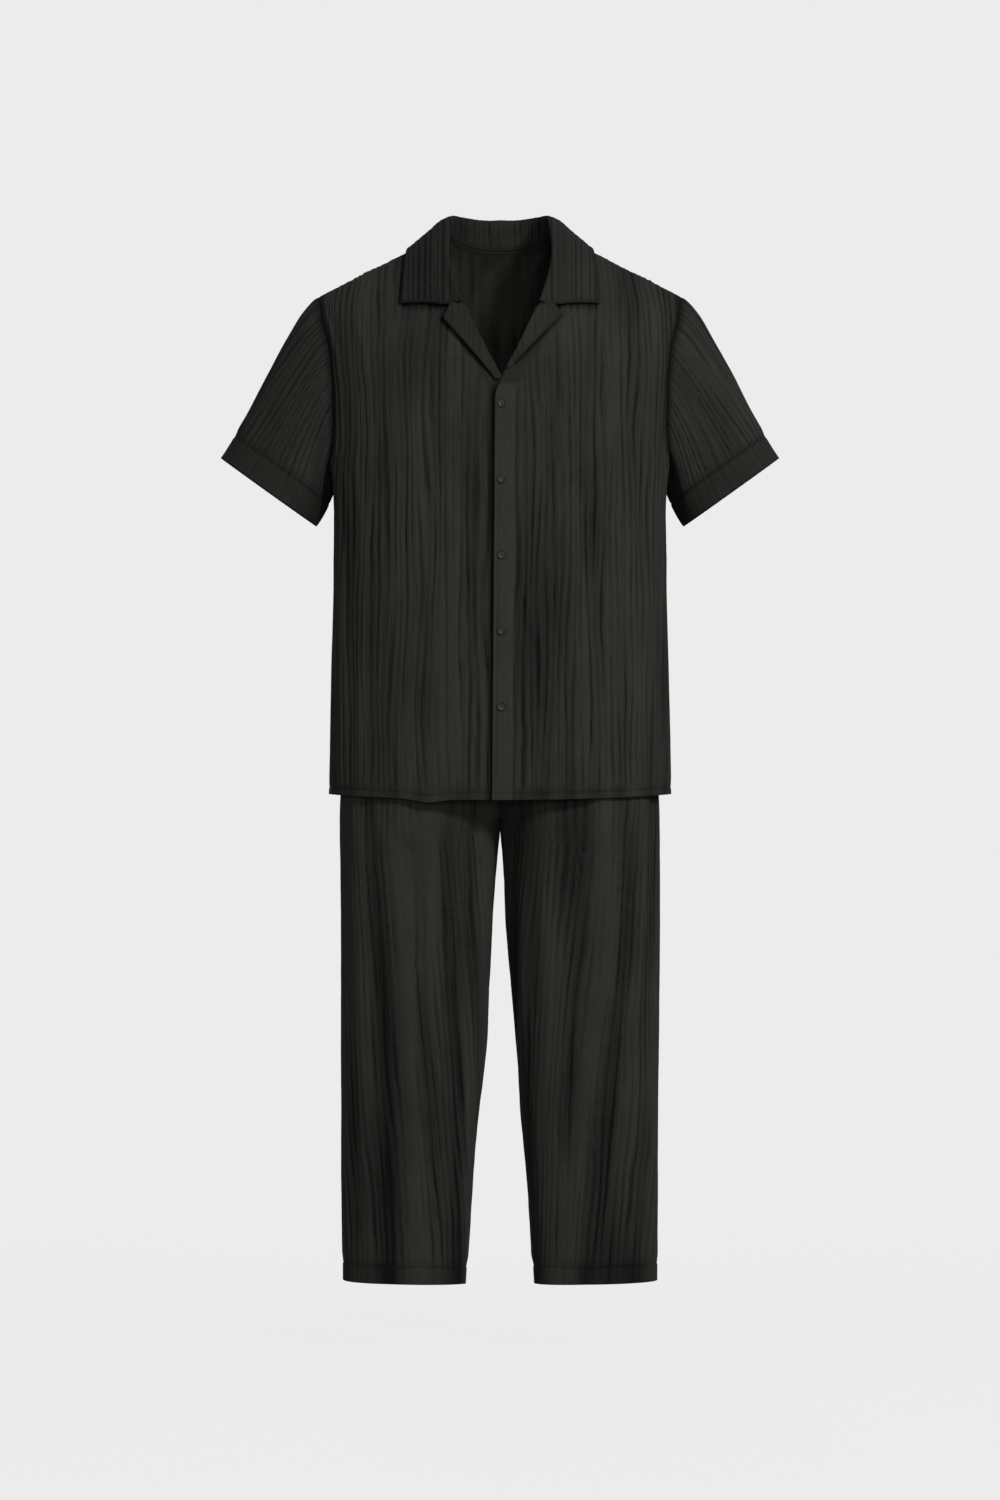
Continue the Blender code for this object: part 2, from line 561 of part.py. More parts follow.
def sleeve_grid(ring, count_front, along):
    """Sleeve from the armhole loop to the cuff; along runs from 0 to 1."""
    share, side = ring_places(ring, count_front)
    outer, inner = np.array(CUFF_OUTER), np.array(CUFF_INNER)
    line = outer - inner
    centre, reach = (outer + inner) / 2, np.linalg.norm(line) / 2
    line = unit(line)
    angle = np.pi * share
    round_x = power(np.cos(angle), 2 / CUFF_POWER) * reach
    round_y = power(np.sin(angle), 2 / CUFF_POWER) * CUFF_DEPTH
    cuff = np.stack([centre[0] + line[0] * round_x, CUFF_Y + side * round_y,
                     centre[1] + line[1] * round_x], axis=-1)
    start = unit(np.stack([smooth(SLEEVE_START, "x", share), side * smooth(SLEEVE_START, "y", share),
                           smooth(SLEEVE_START, "z", share)], axis=-1))
    axis = np.array([-line[1], 0.0, line[0]])
    axis = axis if axis[2] < 0 else -axis
    under = np.array(SLEEVE_UNDER)
    end = unit(axis + (under - axis) * share[:, None] ** 2)
    length = np.linalg.norm(cuff - ring, axis=1, keepdims=True)
    start_pull = length * (CAP_PULL + (PIT_PULL - CAP_PULL) * share[:, None])
    end_pull = length * ARM_PULL
    w = np.asarray(along)[:, None, None]
    return ((1 + 2 * w) * (1 - w) ** 2 * ring + w * (1 - w) ** 2 * start * start_pull
            + w * w * (3 - 2 * w) * cuff + w * w * (w - 1) * end * end_pull)


def tube_normals(grid, centre):
    """Normals of a tube whose columns close on themselves."""
    wrapped = np.concatenate([grid[:, -1:], grid, grid[:, :1]], axis=1)
    return normals(wrapped, wrapped - centre)[:, 1:-1]


def build_sleeve(name, side, front, back, front_edge, back_edge):
    """One sleeve; it also turns the armhole edges of its two panels."""
    hole_front, hole_back = front.plain[PIT_INDEX:, front_edge], back.plain[PIT_INDEX:, back_edge]
    ring = mirrored(sleeve_ring(hole_front, hole_back), side)
    count_front = len(hole_front) - 1
    grid = sleeve_grid(ring, count_front, SLEEVE_ROWS)
    middle = grid.mean(axis=1, keepdims=True)
    grid = mirrored(grid, side)
    normal = tube_normals(grid, mirrored(middle, side))
    inward = -normal
    body_in = sleeve_ring(front.inward[PIT_INDEX:, front_edge], back.inward[PIT_INDEX:, back_edge])
    joint = shared_edge(body_in, inward[0])
    inward[0] = joint
    front.inward[PIT_INDEX + 1:, front_edge] = joint[1:count_front + 1]
    back_joint = joint[count_front:][::-1]
    back.inward[PIT_INDEX + 1:, back_edge] = back_joint
    front.inward[PIT_INDEX, front_edge] = joint[0]
    back.inward[PIT_INDEX, back_edge] = joint[0]
    share, _ = ring_places(mirrored(ring, side), count_front)
    ridge = (np.arange(len(share)) % 2 == 0) * np.clip(1 - share, 0, 1) ** SLEEVE_FOLD_UNDER
    stand = ease(SLEEVE_ROWS / SLEEVE_FOLD_IN) * ease((1 - SLEEVE_ROWS) / SLEEVE_FOLD_OUT)
    rise = stand[:, None] * ridge * SLEEVE_FOLD_RISE
    outer = grid + normal * rise[..., None]
    under = grid + inward * WALL
    pull(outer, "first_row", ARMHOLE_GAP)
    pull(under, "first_row", ARMHOLE_GAP)
    return wall(name, outer, under, CLOTH_COLOUR, rows=thin(len(grid), (1,)), tube=True)


def collar_lines(right, left, back):
    """Foot of the collar from the wearer's right front, round the back, to the left."""
    top = len(ROW_PLACES) - 1
    turns = 90.0 * (1 - (ROW_PLACES[GORGE_INDEX:] - CAP_START) / (1 - CAP_START))
    middle = (back.plain.shape[1] - 1) // 2
    cols = range(middle - NECK_COLUMNS + 1, middle + NECK_COLUMNS)
    back_points = back.plain[top, list(cols)]
    foot = np.concatenate([right.plain[GORGE_INDEX:, 0], back_points,
                           left.plain[:GORGE_INDEX - 1:-1, 0]])
    normal = np.concatenate([right.normal[GORGE_INDEX:, 0], back.normal[top, list(cols)],
                             left.normal[:GORGE_INDEX - 1:-1, 0]])
    turn = np.concatenate([turns, -back_neck_turn(back_points[:, 0]), turns[::-1]])
    return foot, normal, turn


def build_collar(right, left, back):
    foot, normal, turn = collar_lines(right, left, back)
    steps = np.linalg.norm(np.diff(foot, axis=0), axis=1)
    along = np.concatenate([[0], np.cumsum(steps)])
    share = np.abs(along - along[-1] / 2) / (along[-1] / 2)
    forward = ease((share - FORWARD_START) / (1 - FORWARD_START))[:, None]
    up = unit(np.array([0.0, 0.0, 1.0]) * (1 - forward) + normal * forward)
    inside = -unit(np.cross(up, np.gradient(foot, axis=0)))
    height, lean = smooth(STAND, "height", share)[:, None], smooth(STAND, "lean", share)[:, None]
    fold = foot + up * height + inside * lean
    side = np.sign(foot[:, 0])
    side[side == 0] = 1.0
    edge_x, edge_turn = smooth(COLLAR_EDGE, "x", share) * side, smooth(COLLAR_EDGE, "turn", share)
    section = [foot + (fold - foot) * k for k in STAND_PLACES]
    section[0] = foot + unit(fold - foot) * COLLAR_FOOT_GAP
    section.append(fold - inside * FOLD_WIDTH * FOLD_LEAN_BACK + up * FOLD_CROWN)
    for part in COLLAR_FALL:
        x = foot[:, 0] + (edge_x - foot[:, 0]) * part
        angle = turn + (edge_turn - turn) * part
        lift = (COLLAR_CLEAR + COLLAR_WALL) * ease(LIFT_RATE * part)
        spread = FOLD_WIDTH * (1 - part) ** 2
        section.append(cap_point(x, angle) + cap_normal(x, angle) * lift - inside * spread
                       + up * height * (1 - part) ** FALL_RATE)
    grid = np.stack(section)
    guide = np.broadcast_to(up, grid.shape) * np.linspace(-0.2, 1, len(grid))[:, None, None]
    normal = normals(grid, guide)
    wall("shirt_collar", grid, grid - normal * COLLAR_WALL, CLOTH_COLOUR)


def cap_point(x, turn):
    """Point of the shoulder cap: front for positive turns, back for negative ones."""
    face = np.where(turn >= 0, 1, 0)
    z_front = cap_z("front", x, np.clip(turn, 0, 90))
    z_back = cap_z("back", x, np.clip(-turn, 0, 90))
    z = np.where(face, z_front, z_back)
    y = np.where(face, body_y("front", x, z), body_y("back", x, z))
    return np.stack([x, y, z], axis=-1)


def cap_normal(x, turn):
    step_x, step_turn = 0.002, 2.0
    over = cap_point(x + step_x, turn) - cap_point(x - step_x, turn)
    down = cap_point(x, turn + step_turn) - cap_point(x, turn - step_turn)
    normal = unit(np.cross(over, down))
    return np.where(normal[:, 2:] < 0, -normal, normal)


def lapel_heights(table):
    """Rows of a lapel from its lower end up, with one at each turn of its edge."""
    runs = [np.linspace(low, high, LAPEL_STEPS, endpoint=False)
            for low, high in zip(table["z"][::-1], table["z"][-2::-1])]
    return np.concatenate(runs + [table["z"][:1]])


def build_lapel(name, side, table):
    """Facing that shows where the front is folded back along the roll line."""
    z = lapel_heights(table)[:, None]
    flipped = {key: values[::-1] for key, values in table.items()}
    roll = np.interp(z, flipped["z"], flipped["roll"])
    edge = np.interp(z, flipped["z"], flipped["edge"])
    s = np.linspace(0, 1, LAPEL_COLUMNS)[None, :]
    x = roll + (edge - roll) * s
    z = z + 0.0 * x
    plain = np.stack([x, body_y("front", x, z), z], axis=-1)
    normal = normals(plain, outward_from(plain))
    plain = mirrored(plain + normal * (LAY_GAP + WALL), side)
    normal = mirrored(normal, side)
    wall(name, plain, plain - normal * WALL, CLOTH_COLOUR)


def build_button(index):
    z = BUTTON_TOP_Z - BUTTON_STEP * index
    centre = np.array([BUTTON_X, float(body_y("front", BUTTON_X, z)), z])
    over = z + BUTTON_SPAN
    above = np.array([BUTTON_X, float(body_y("front", BUTTON_X, over)), over])
    up = unit(above - centre)
    out = unit(np.cross(up, np.array([-1.0, 0.0, 0.0])))
    out = out if out[1] < 0 else -out
    side = np.cross(up, out)
    radius = BUTTON_DIAMETER / 2
    count = BUTTON_SIDES
    points, faces = [], []
    for ring_radius, height in zip(BUTTON_PROFILE["radius"], BUTTON_PROFILE["height"]):
        lift = SEAM_GAP + height * BUTTON_HEIGHT
        for k in range(count):
            angle = 2 * math.pi * k / count
            flat = side * math.cos(angle) + up * math.sin(angle)
            points.append(centre + flat * radius * ring_radius + out * lift)
    for r in range(len(BUTTON_PROFILE["radius"]) - 1):
        for k in range(count):
            d = (k + 1) % count
            faces.append((r * count + k, r * count + d, (r + 1) * count + d, (r + 1) * count + k))
    faces.append(tuple(range(count)))
    faces.append(tuple(len(points) - count + k for k in range(count)))
    solid(f"shirt_button_{index + 1}", points, faces, BUTTON_COLOUR, BUTTON_ROUGHNESS)


def cover(panel):
    """Share of each point that lies under the collar or a lapel."""
    x, z = np.abs(panel.plain[..., 0]), panel.plain[..., 2]
    shares = [ease((z - low) / COVER_FADE) * ease((wide - x) / COVER_FADE)
              for low, wide in (COLLAR_COVER, LAPEL_COVER)]
    return np.maximum(*shares)


def finish_panel(name, panel, edges, keep_cols):
    outer, inner = panel.surfaces()
    for edge in edges:
        pull(outer, edge)
        pull(inner, edge)
    rows = thin(len(outer), range(PIT_INDEX - 5, len(outer)))
    wall(name, outer, inner, CLOTH_COLOUR, rows, thin(outer.shape[1], keep_cols))


def build_shirt():
    left = front_panel(1, FOLDS_UPPER, NECK_UPPER, EDGE_UPPER)
    right = front_panel(-1, FOLDS_UNDER, NECK_UNDER, EDGE_UNDER)
    right.plain, right.normal = mirrored(right.plain, -1), mirrored(right.normal, -1)
    right.inward = mirrored(right.inward, -1)
    back = back_panel()
    for panel in (left, right):
        panel.rise = panel.rise * (1 - cover(panel))
    back.rise = back.rise * (1 - ease((back.plain[..., 2] - BACK_COVER) / BACK_FADE))
    for panel, cols in ((left, (-1,)), (right, (-1,)), (back, (0, -1))):
        for col in cols:
            panel.inward[:PIT_INDEX, col, 1] = 0.0
            panel.inward[:PIT_INDEX, col] = unit(panel.inward[:PIT_INDEX, col])
        panel.inward[-1, :, 1] = 0.0
        panel.inward[-1] = unit(panel.inward[-1])
    build_sleeve("shirt_sleeve_left", 1, left, back, -1, -1)
    build_sleeve("shirt_sleeve_right", -1, right, back, -1, 0)
    build_collar(right, left, back)
    finish_panel("shirt_front_left", left, ("last_col", "last_row"), (-2, -3, -4, 1, 2))
    finish_panel("shirt_front_right", right, ("last_col", "last_row"), (-2, -3, -4, 1, 2))
    finish_panel("shirt_back", back, ("first_col", "last_col", "last_row"), (1, 2, 3, -2, -3, -4))
    build_lapel("shirt_lapel_left", 1, LAPEL_UPPER)
    build_lapel("shirt_lapel_right", -1, LAPEL_UNDER)
    for index in range(BUTTON_COUNT):
        build_button(index)


def leg_rows():
    """Heights of each row at its inner and outer edge, and its angle round the fork."""
    waist = WAIST_TOP - WAISTBAND - SEAM_GAP
    hip = [(z, z, 0.0) for z in np.linspace(waist, FORK_START, HIP_ROWS + 1)[:-1]]
    fork = []
    for angle in np.linspace(0, 90, FORK_ROWS + 1)[:-1]:
        inner = FORK_START + (FORK_Z - FORK_START) * math.sin(math.radians(angle)) ** FORK_DROP
        fork.append((inner, FORK_START + (FORK_OUTER_Z - FORK_START) * angle / 90, angle))
    legs = []
    for t in np.linspace(0, 1, LEG_ROWS + 1):
        outer = FORK_OUTER_Z + (LEG_HEM_OUTER - FORK_OUTER_Z) * t
        legs.append((FORK_Z + (LEG_HEM_INNER - FORK_Z) * t, outer, 90.0))
    return np.array(hip + fork + legs)


def leg_panel(face, s, rows):
    """Half of one trouser leg: s runs from the side seam to the fork and inseam."""
    s = np.asarray(s)
    z_in, z_out, angle = (rows[:, k][:, None] for k in range(3))
    z = z_out + (z_in - z_out) * s
    outer, inner = smooth(TROUSERS, "outer", z), smooth(TROUSERS, "inner", z)
    depth, middle = smooth(TROUSERS, face, z), smooth(TROUSERS, "middle", z)
    split = ease((HIP_SPLIT - z) / (HIP_SPLIT - FORK_Z))
    centre = (outer + inner) / 2 * split
    curve = FORK_CURVE_FRONT if face == "front" else FORK_CURVE_BACK
    reach = np.minimum(np.cos(np.radians(angle)) ** (2 / curve), FORK_LIMIT)
    reach = np.where(angle >= 90.0, 0.0, reach)
    width = (centre - inner) / (1 - reach ** LEG_POWER) ** (1 / LEG_POWER)
    end = 180.0 - np.degrees(np.arcsin(reach ** (LEG_POWER / 2)))
    spread = HIP_SPREAD * (1 - split)
    around = np.radians(end * (s + spread * s * (1 - s)))
    across = power(np.cos(around), 2 / LEG_POWER)
    x = centre + np.where(across > 0, outer - centre, width) * across
    sign = -1.0 if face == "front" else 1.0
    y = middle + sign * depth * np.clip(np.sin(around), 0, 1) ** (2 / LEG_POWER)
    return np.stack([x, y, z], axis=-1)


def build_leg(name, face, side, folds):
    rows = leg_rows()
    place = np.linspace(1, 0, len(rows))
    s, rise = fold_columns(folds, place, LEG_WAVE + LEG_WAVE_STEP * side)
    plain = leg_panel(face, s, rows)
    outward = plain.copy()
    outward[..., 0] -= np.where(plain[..., 2] < FORK_Z, LEG_CENTRE, HIP_CENTRE)
    outward[..., 1] -= CENTRE_Y
    outward[..., 2] = 0.0
    panel = Panel(plain, rise, outward)
    panel.inward[:, 0, 1] = 0.0
    legs = HIP_ROWS + FORK_ROWS
    panel.inward[legs:, -1, 1] = 0.0
    panel.inward = unit(panel.inward)
    outer, inner = panel.surfaces()
    for edge in ("first_col", "last_col"):
        pull(outer, edge)
        pull(inner, edge)
    outer, inner = mirrored(outer, side), mirrored(inner, side)
    keep = range(legs + 2)
    wall(name, outer, inner, CLOTH_COLOUR, thin(len(outer), keep))


def build_waistband():
    heights = np.linspace(WAIST_TOP, WAIST_TOP - WAISTBAND, WAISTBAND_ROWS)
    around = np.radians(np.arange(0, 360, WAISTBAND_TURN))
    rows = []
    for z in heights:
        half, middle = smooth(TROUSERS, "outer", z), smooth(TROUSERS, "middle", z)
        depth = np.where(np.sin(around) < 0, smooth(TROUSERS, "front", z), smooth(TROUSERS, "back", z))
        x = half * power(np.cos(around), 2 / LEG_POWER)
        y = middle + depth * power(np.sin(around), 2 / LEG_POWER)
        rows.append(np.stack([x, y, np.full_like(x, z)], axis=-1))
    grid = np.stack(rows)
    normal = tube_normals(grid, np.array([0.0, CENTRE_Y, 0.0]))
    normal[..., 2] = 0.0
    wall("trousers_waistband", grid, grid - unit(normal) * WAISTBAND_WALL, CLOTH_COLOUR, tube=True)


def build_trousers():
    for side, label in ((1, "left"), (-1, "right")):
        build_leg(f"trousers_front_{label}", "front", side, FOLDS_LEG_FRONT)
        build_leg(f"trousers_back_{label}", "back", side, FOLDS_LEG_BACK)
    build_waistband()


def main():
    for piece in list(bpy.data.objects):
        bpy.data.objects.remove(piece, do_unlink=True)
    build_shirt()
    build_trousers()


if __name__ == "__main__":
    main()
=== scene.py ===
"""Dresses the crinkled shirt and trousers: gauze cloth, collar, stitching, buttons and studio.

Metres, +Z up, the front faces -Y and +X is at the viewer's right. The origin lies midway
between the high shoulder points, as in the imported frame. The surface of each sewn piece is
worked out at a fine step from the pattern's tables, then creased and given its thickness.
"""
import math

import bmesh
import bpy
import numpy as np
from bpy.props import FloatProperty, FloatVectorProperty, PointerProperty
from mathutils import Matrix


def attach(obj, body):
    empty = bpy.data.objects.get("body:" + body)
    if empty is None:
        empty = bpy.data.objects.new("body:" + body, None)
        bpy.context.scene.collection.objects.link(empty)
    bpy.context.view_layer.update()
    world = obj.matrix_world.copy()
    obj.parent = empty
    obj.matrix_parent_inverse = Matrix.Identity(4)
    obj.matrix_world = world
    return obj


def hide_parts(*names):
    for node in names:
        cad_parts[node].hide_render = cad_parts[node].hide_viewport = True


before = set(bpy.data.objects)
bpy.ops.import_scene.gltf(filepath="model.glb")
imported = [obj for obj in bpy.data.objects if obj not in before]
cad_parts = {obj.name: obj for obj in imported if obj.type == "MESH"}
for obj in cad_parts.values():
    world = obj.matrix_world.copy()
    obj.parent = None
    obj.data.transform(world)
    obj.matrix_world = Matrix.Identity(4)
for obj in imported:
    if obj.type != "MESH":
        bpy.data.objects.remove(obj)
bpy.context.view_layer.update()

bl_info = {
    "name": "Crinkled shirt and trousers",
    "version": (1, 0, 0),
    "blender": (4, 5, 0),
    "location": "View3D > Sidebar > Garment",
    "description": "Sews and dresses a crinkled gauze shirt and trousers set",
    "category": "Object",
}


def columns(names, *rows):
    """A short table: one named array for each column."""
    return dict(zip(names.split(), np.array(rows, float).T))


# Pattern of the shirt: shoulder, neck and section
NECK_HALF = 0.0725
NECK_RISE = 0.018
SHOULDER_HALF = 0.2437
SHOULDER_DROP = 0.087
RIDGE_Y_NECK, RIDGE_Y_SHOULDER = 0.012, 0.004
SIDE_Y = 0.008
SECTION_POWER = 2.4
FRONT_ROUND, BACK_ROUND = 0.175, 0.135
ROUND_LOSS = 0.26
BACK_NECK_REACH, BACK_NECK_POWER = 0.64, 2.2
CAP_START = 0.86
PIT_ROW = 0.66

BODY = columns(
    "z half front back",
    (-0.765, 0.2292, 0.130, 0.120),
    (-0.600, 0.2264, 0.128, 0.120),
    (-0.450, 0.2232, 0.126, 0.120),
    (-0.400, 0.2240, 0.125, 0.120),
    (-0.325, 0.2340, 0.123, 0.120),
    (-0.290, 0.2400, 0.121, 0.119),
    (-0.240, 0.2440, 0.118, 0.118),
    (-0.190, 0.2460, 0.114, 0.116),
    (-0.150, 0.2475, 0.110, 0.114),
    (-0.120, 0.2490, 0.107, 0.112),
    (-0.088, 0.2510, 0.104, 0.110),
    (0.020, 0.2560, 0.100, 0.108))
ROWS = columns(
    "row z_in z_out turn",
    (0.00, -0.760, -0.753, 0.0),
    (0.20, -0.640, -0.636, 0.0),
    (0.40, -0.500, -0.500, 0.0),
    (0.50, -0.420, -0.425, 0.0),
    (0.58, -0.360, -0.372, 0.0),
    (0.66, -0.305, -0.325, 0.0),
    (0.70, -0.275, -0.313, 13.0),
    (0.74, -0.245, -0.292, 22.5),
    (0.80, -0.205, -0.250, 26.0),
    (0.86, -0.172, -0.210, 26.6))
CAP_EDGE = columns("turn x", (0, 0.2437), (42, 0.2390), (62, 0.2300), (81, 0.2250), (90, 0.2230))
PINCH = columns(
    "z depth", (-0.440, 0.0), (-0.394, 0.0030), (-0.375, 0.0072), (-0.355, 0.0145),
    (-0.325, 0.0235), (-0.295, 0.0), (-0.270, 0.0))
PINCH_TURN = 26.0

# Inner edge of each front, by cap angle and by height
NECK_UPPER = columns("turn x", (0, 0.0725), (30, 0.0715), (44, 0.0675), (52, 0.0625),
                     (61.5, 0.0545), (63.5, 0.0475), (70.5, 0.0402), (78.3, 0.0319),
                     (83.7, 0.0265), (90, 0.0221))
EDGE_UPPER = columns("z x", (-0.760, -0.0107), (-0.400, -0.0080), (-0.225, -0.0067),
                     (-0.209, -0.0016), (-0.193, 0.0059), (-0.172, 0.0149), (-0.158, 0.0221))
NECK_UNDER = columns("turn x", (0, 0.0725), (30, 0.0715), (44, 0.0675), (52, 0.0615),
                     (61.5, 0.0528), (63.5, 0.0453), (70.5, 0.0368), (78.3, 0.0281),
                     (83.7, 0.0228), (90, 0.0186))
EDGE_UNDER = columns("z x", (-0.760, -0.0120), (-0.225, -0.0120), (-0.209, -0.0080),
                     (-0.195, 0.0001), (-0.172, 0.0116), (-0.158, 0.0186))
UNDER_DEPTH = 0.0036
UNDER_START, UNDER_FULL = 0.0180, 0.0060

# Large folds: place across the panel, rows between which each stands, height, side sway
FOLDS_UPPER = columns(
    "across low high rise sway",
    (0.115, 0.05, 0.55, 0.0008, 0.004), (0.200, 0.10, 0.90, 0.0013, 0.006),
    (0.285, 0.02, 0.80, 0.0012, 0.005), (0.370, 0.20, 0.97, 0.0014, 0.007),
    (0.460, 0.04, 0.93, 0.0016, 0.006), (0.550, 0.15, 0.98, 0.0020, 0.008),
    (0.640, 0.02, 0.96, 0.0016, 0.006), (0.740, 0.10, 0.92, 0.0018, 0.008),
    (0.850, 0.00, 0.94, 0.0014, 0.005))
FOLDS_UNDER = columns(
    "across low high rise sway",
    (0.140, 0.10, 0.70, 0.0009, 0.005), (0.225, 0.03, 0.85, 0.0012, 0.006),
    (0.310, 0.15, 0.96, 0.0014, 0.005), (0.400, 0.02, 0.88, 0.0013, 0.007),
    (0.490, 0.12, 0.97, 0.0014, 0.006), (0.580, 0.04, 0.90, 0.0013, 0.005),
    (0.670, 0.18, 0.98, 0.0016, 0.008), (0.765, 0.02, 0.94, 0.0018, 0.006),
    (0.865, 0.08, 0.92, 0.0014, 0.005))
FOLDS_BACK = columns(
    "across low high rise sway",
    (0.000, 0.05, 0.86, 0.0010, 0.003), (0.110, 0.08, 0.94, 0.0014, 0.003),
    (0.220, 0.10, 0.97, 0.0012, 0.005), (0.330, 0.02, 0.92, 0.0016, 0.006),
    (0.435, 0.15, 0.98, 0.0013, 0.005), (0.540, 0.04, 0.95, 0.0017, 0.008),
    (0.650, 0.10, 0.97, 0.0013, 0.006), (0.755, 0.00, 0.92, 0.0016, 0.006),
    (0.865, 0.06, 0.94, 0.0013, 0.005))

# Sleeve
CUFF_OUTER = (0.3740, -0.3030)
CUFF_INNER = (0.2466, -0.3940)
CUFF_DEPTH = 0.055
CUFF_Y = 0.006
CUFF_POWER = 2.15
CAP_PULL, PIT_PULL, ARM_PULL = 0.40, 0.60, 0.85
UNDERARM_WAY = (0.68, 0.0, -0.73)         # way of the underarm seam at the cuff
UNDERARM_TUCK = 0.0018                    # how far the sleeve is set in at the pit
SLEEVE_START = columns(
    "down x y z", (0.00, 0.894, 0.00, -0.447), (0.30, 0.86, 0.18, -0.48),
    (0.60, 0.76, 0.20, -0.62), (0.85, 0.68, 0.12, -0.72), (1.00, 0.58, 0.0, -0.81))

# Collar and lapels
COLLAR_EDGE = columns(        # cap angle (front positive, back negative) and x of the outer edge
    "share turn x", (0.00, -56, 0.0), (0.20, -53, 0.040), (0.35, -44, 0.075), (0.50, -26, 0.104),
    (0.62, -8, 0.118), (0.78, 20, 0.1255), (0.90, 40.5, 0.1290), (1.00, 54.0, 0.1315))
COLLAR_FALL = (0.06, 0.25, 0.50, 0.76, 1.0)
COLLAR_CLEAR = 0.0030
COLLAR_WALL = 0.0018
COLLAR_GORGE_TURN = 61.5
FOLD_WIDTH = 0.0045
FOLD_CROWN = 0.0016
STAND = columns(              # height and inward lean of the fold, by share of the neckline
    "share height lean", (0.0, 0.0396, 0.006), (0.16, 0.0366, 0.007), (0.32, 0.0280, 0.0115),
    (0.49, 0.0172, 0.0085), (0.75, 0.0120, 0.0045), (1.0, 0.0050, 0.0055))
LAPEL_UNDER = columns(
    "z roll edge", (-0.1035, 0.0530, 0.0640), (-0.1234, 0.0385, 0.0745), (-0.1420, 0.0285, 0.0581),
    (-0.1690, 0.0150, 0.0343), (-0.2030, -0.0008, 0.0058))
LAPEL_UPPER = columns(
    "z roll edge", (-0.1030, 0.0530, 0.0711), (-0.1181, 0.0435, 0.0815), (-0.1420, 0.0325, 0.0582),
    (-0.1690, 0.0190, 0.0318), (-0.1890, 0.0080, 0.0128))

# Buttons
BUTTON_COUNT = 5
BUTTON_TOP_Z, BUTTON_STEP = -0.2350, 0.1003
BUTTON_X = 0.0027

# Trousers
WAIST_TOP, WAISTBAND = -0.480, 0.0350
FORK_START, FORK_Z, FORK_OUTER_Z = -0.600, -0.787, -0.860
LEG_POWER = 2.25
HIP_SPLIT = -0.560
FORK_CURVE_FRONT, FORK_CURVE_BACK = 3.0, 2.4
TROUSERS = columns(
    "z outer inner front back middle",
    (-1.4080, 0.2107, 0.0463, 0.0530, 0.0530, 0.012),
    (-1.3065, 0.2110, 0.0405, 0.0590, 0.0600, 0.013),
    (-1.2140, 0.2114, 0.0325, 0.0660, 0.0680, 0.014),
    (-1.1150, 0.2120, 0.0230, 0.0745, 0.0780, 0.014),
    (-1.0300, 0.2125, 0.0167, 0.0815, 0.0860, 0.013),
    (-0.9000, 0.2133, 0.0085, 0.0920, 0.0971, 0.010),
    (-0.8300, 0.2135, 0.0040, 0.0970, 0.1018, 0.007),
    (-0.7870, 0.2136, 0.0006, 0.1010, 0.1066, 0.005),
    (-0.7000, 0.2090, 0.0, 0.1060, 0.1095, 0.004),
    (-0.6000, 0.1950, 0.0, 0.1100, 0.1070, 0.004),
    (-0.5500, 0.1780, 0.0, 0.1100, 0.1060, 0.004),
    (-0.4800, 0.1640, 0.0, 0.1080, 0.1040, 0.004))
LEG_HEM_OUTER, LEG_HEM_INNER = -1.4041, -1.4095
FOLDS_LEG_FRONT = columns(
    "across low high rise sway",
    (0.130, 0.00, 0.90, 0.0016, 0.004), (0.260, 0.10, 0.98, 0.0022, 0.005),
    (0.400, 0.00, 0.80, 0.0018, 0.006), (0.530, 0.06, 0.97, 0.0026, 0.005),
    (0.665, 0.02, 0.70, 0.0020, 0.006), (0.815, 0.00, 0.66, 0.0015, 0.004))
FOLDS_LEG_BACK = columns(
    "across low high rise sway",
    (0.150, 0.00, 0.95, 0.0015, 0.005), (0.300, 0.05, 0.90, 0.0021, 0.005),
    (0.450, 0.00, 0.97, 0.0018, 0.006), (0.620, 0.04, 0.72, 0.0024, 0.005),
    (0.800, 0.00, 0.62, 0.0016, 0.004))


# Curves and surfaces
def hermite(t, start, start_pull, end, end_pull):
    """Curve from start to end that leaves and arrives along the two pulls."""
    return ((1 + 2 * t) * (1 - t) ** 2 * start + t * (1 - t) ** 2 * start_pull
            + t * t * (3 - 2 * t) * end + t * t * (t - 1) * end_pull)


def smooth(table, column, at):
    """Smooth curve through one column of a table, without overshoot."""
    x, y = next(iter(table.values())), table[column]
    slope = np.diff(y) / np.diff(x)
    tangent = np.zeros_like(y)
    left, right = slope[:-1], slope[1:]
    same = left * right > 0
    tangent[1:-1][same] = 2 * left[same] * right[same] / (left[same] + right[same])
    tangent[0], tangent[-1] = slope[0], slope[-1]
    at = np.clip(np.asarray(at, float), x[0], x[-1])
    k = np.clip(np.searchsorted(x, at, side="right") - 1, 0, len(slope) - 1)
    width = x[k + 1] - x[k]
    t = (at - x[k]) / width
    return hermite(t, y[k], width * tangent[k], y[k + 1], width * tangent[k + 1])


def ease(t):
    """Soft step from 0 to 1."""
    t = np.clip(t, 0.0, 1.0)
    return t * t * (3 - 2 * t)


def peak(offset, width):
    """Bell curve of height 1 round offset 0."""
    return np.exp(-(offset / width) ** 2)


def power(value, exponent):
    """Power that keeps the sign."""
    return np.sign(value) * np.abs(value) ** exponent


def unit(vectors):
    """Vectors of length 1."""
    vectors = np.asarray(vectors, float)
    return vectors / np.maximum(np.linalg.norm(vectors, axis=-1, keepdims=True), 1e-12)


def ridge_z(x):
    """Height of the shoulder line, carried on over the neck as a low crown."""
    x = np.abs(x)
    slope = SHOULDER_DROP / (SHOULDER_HALF - NECK_HALF)
    return np.where(x > NECK_HALF, -slope * (x - NECK_HALF), NECK_RISE * (1 - (x / NECK_HALF) ** 2))


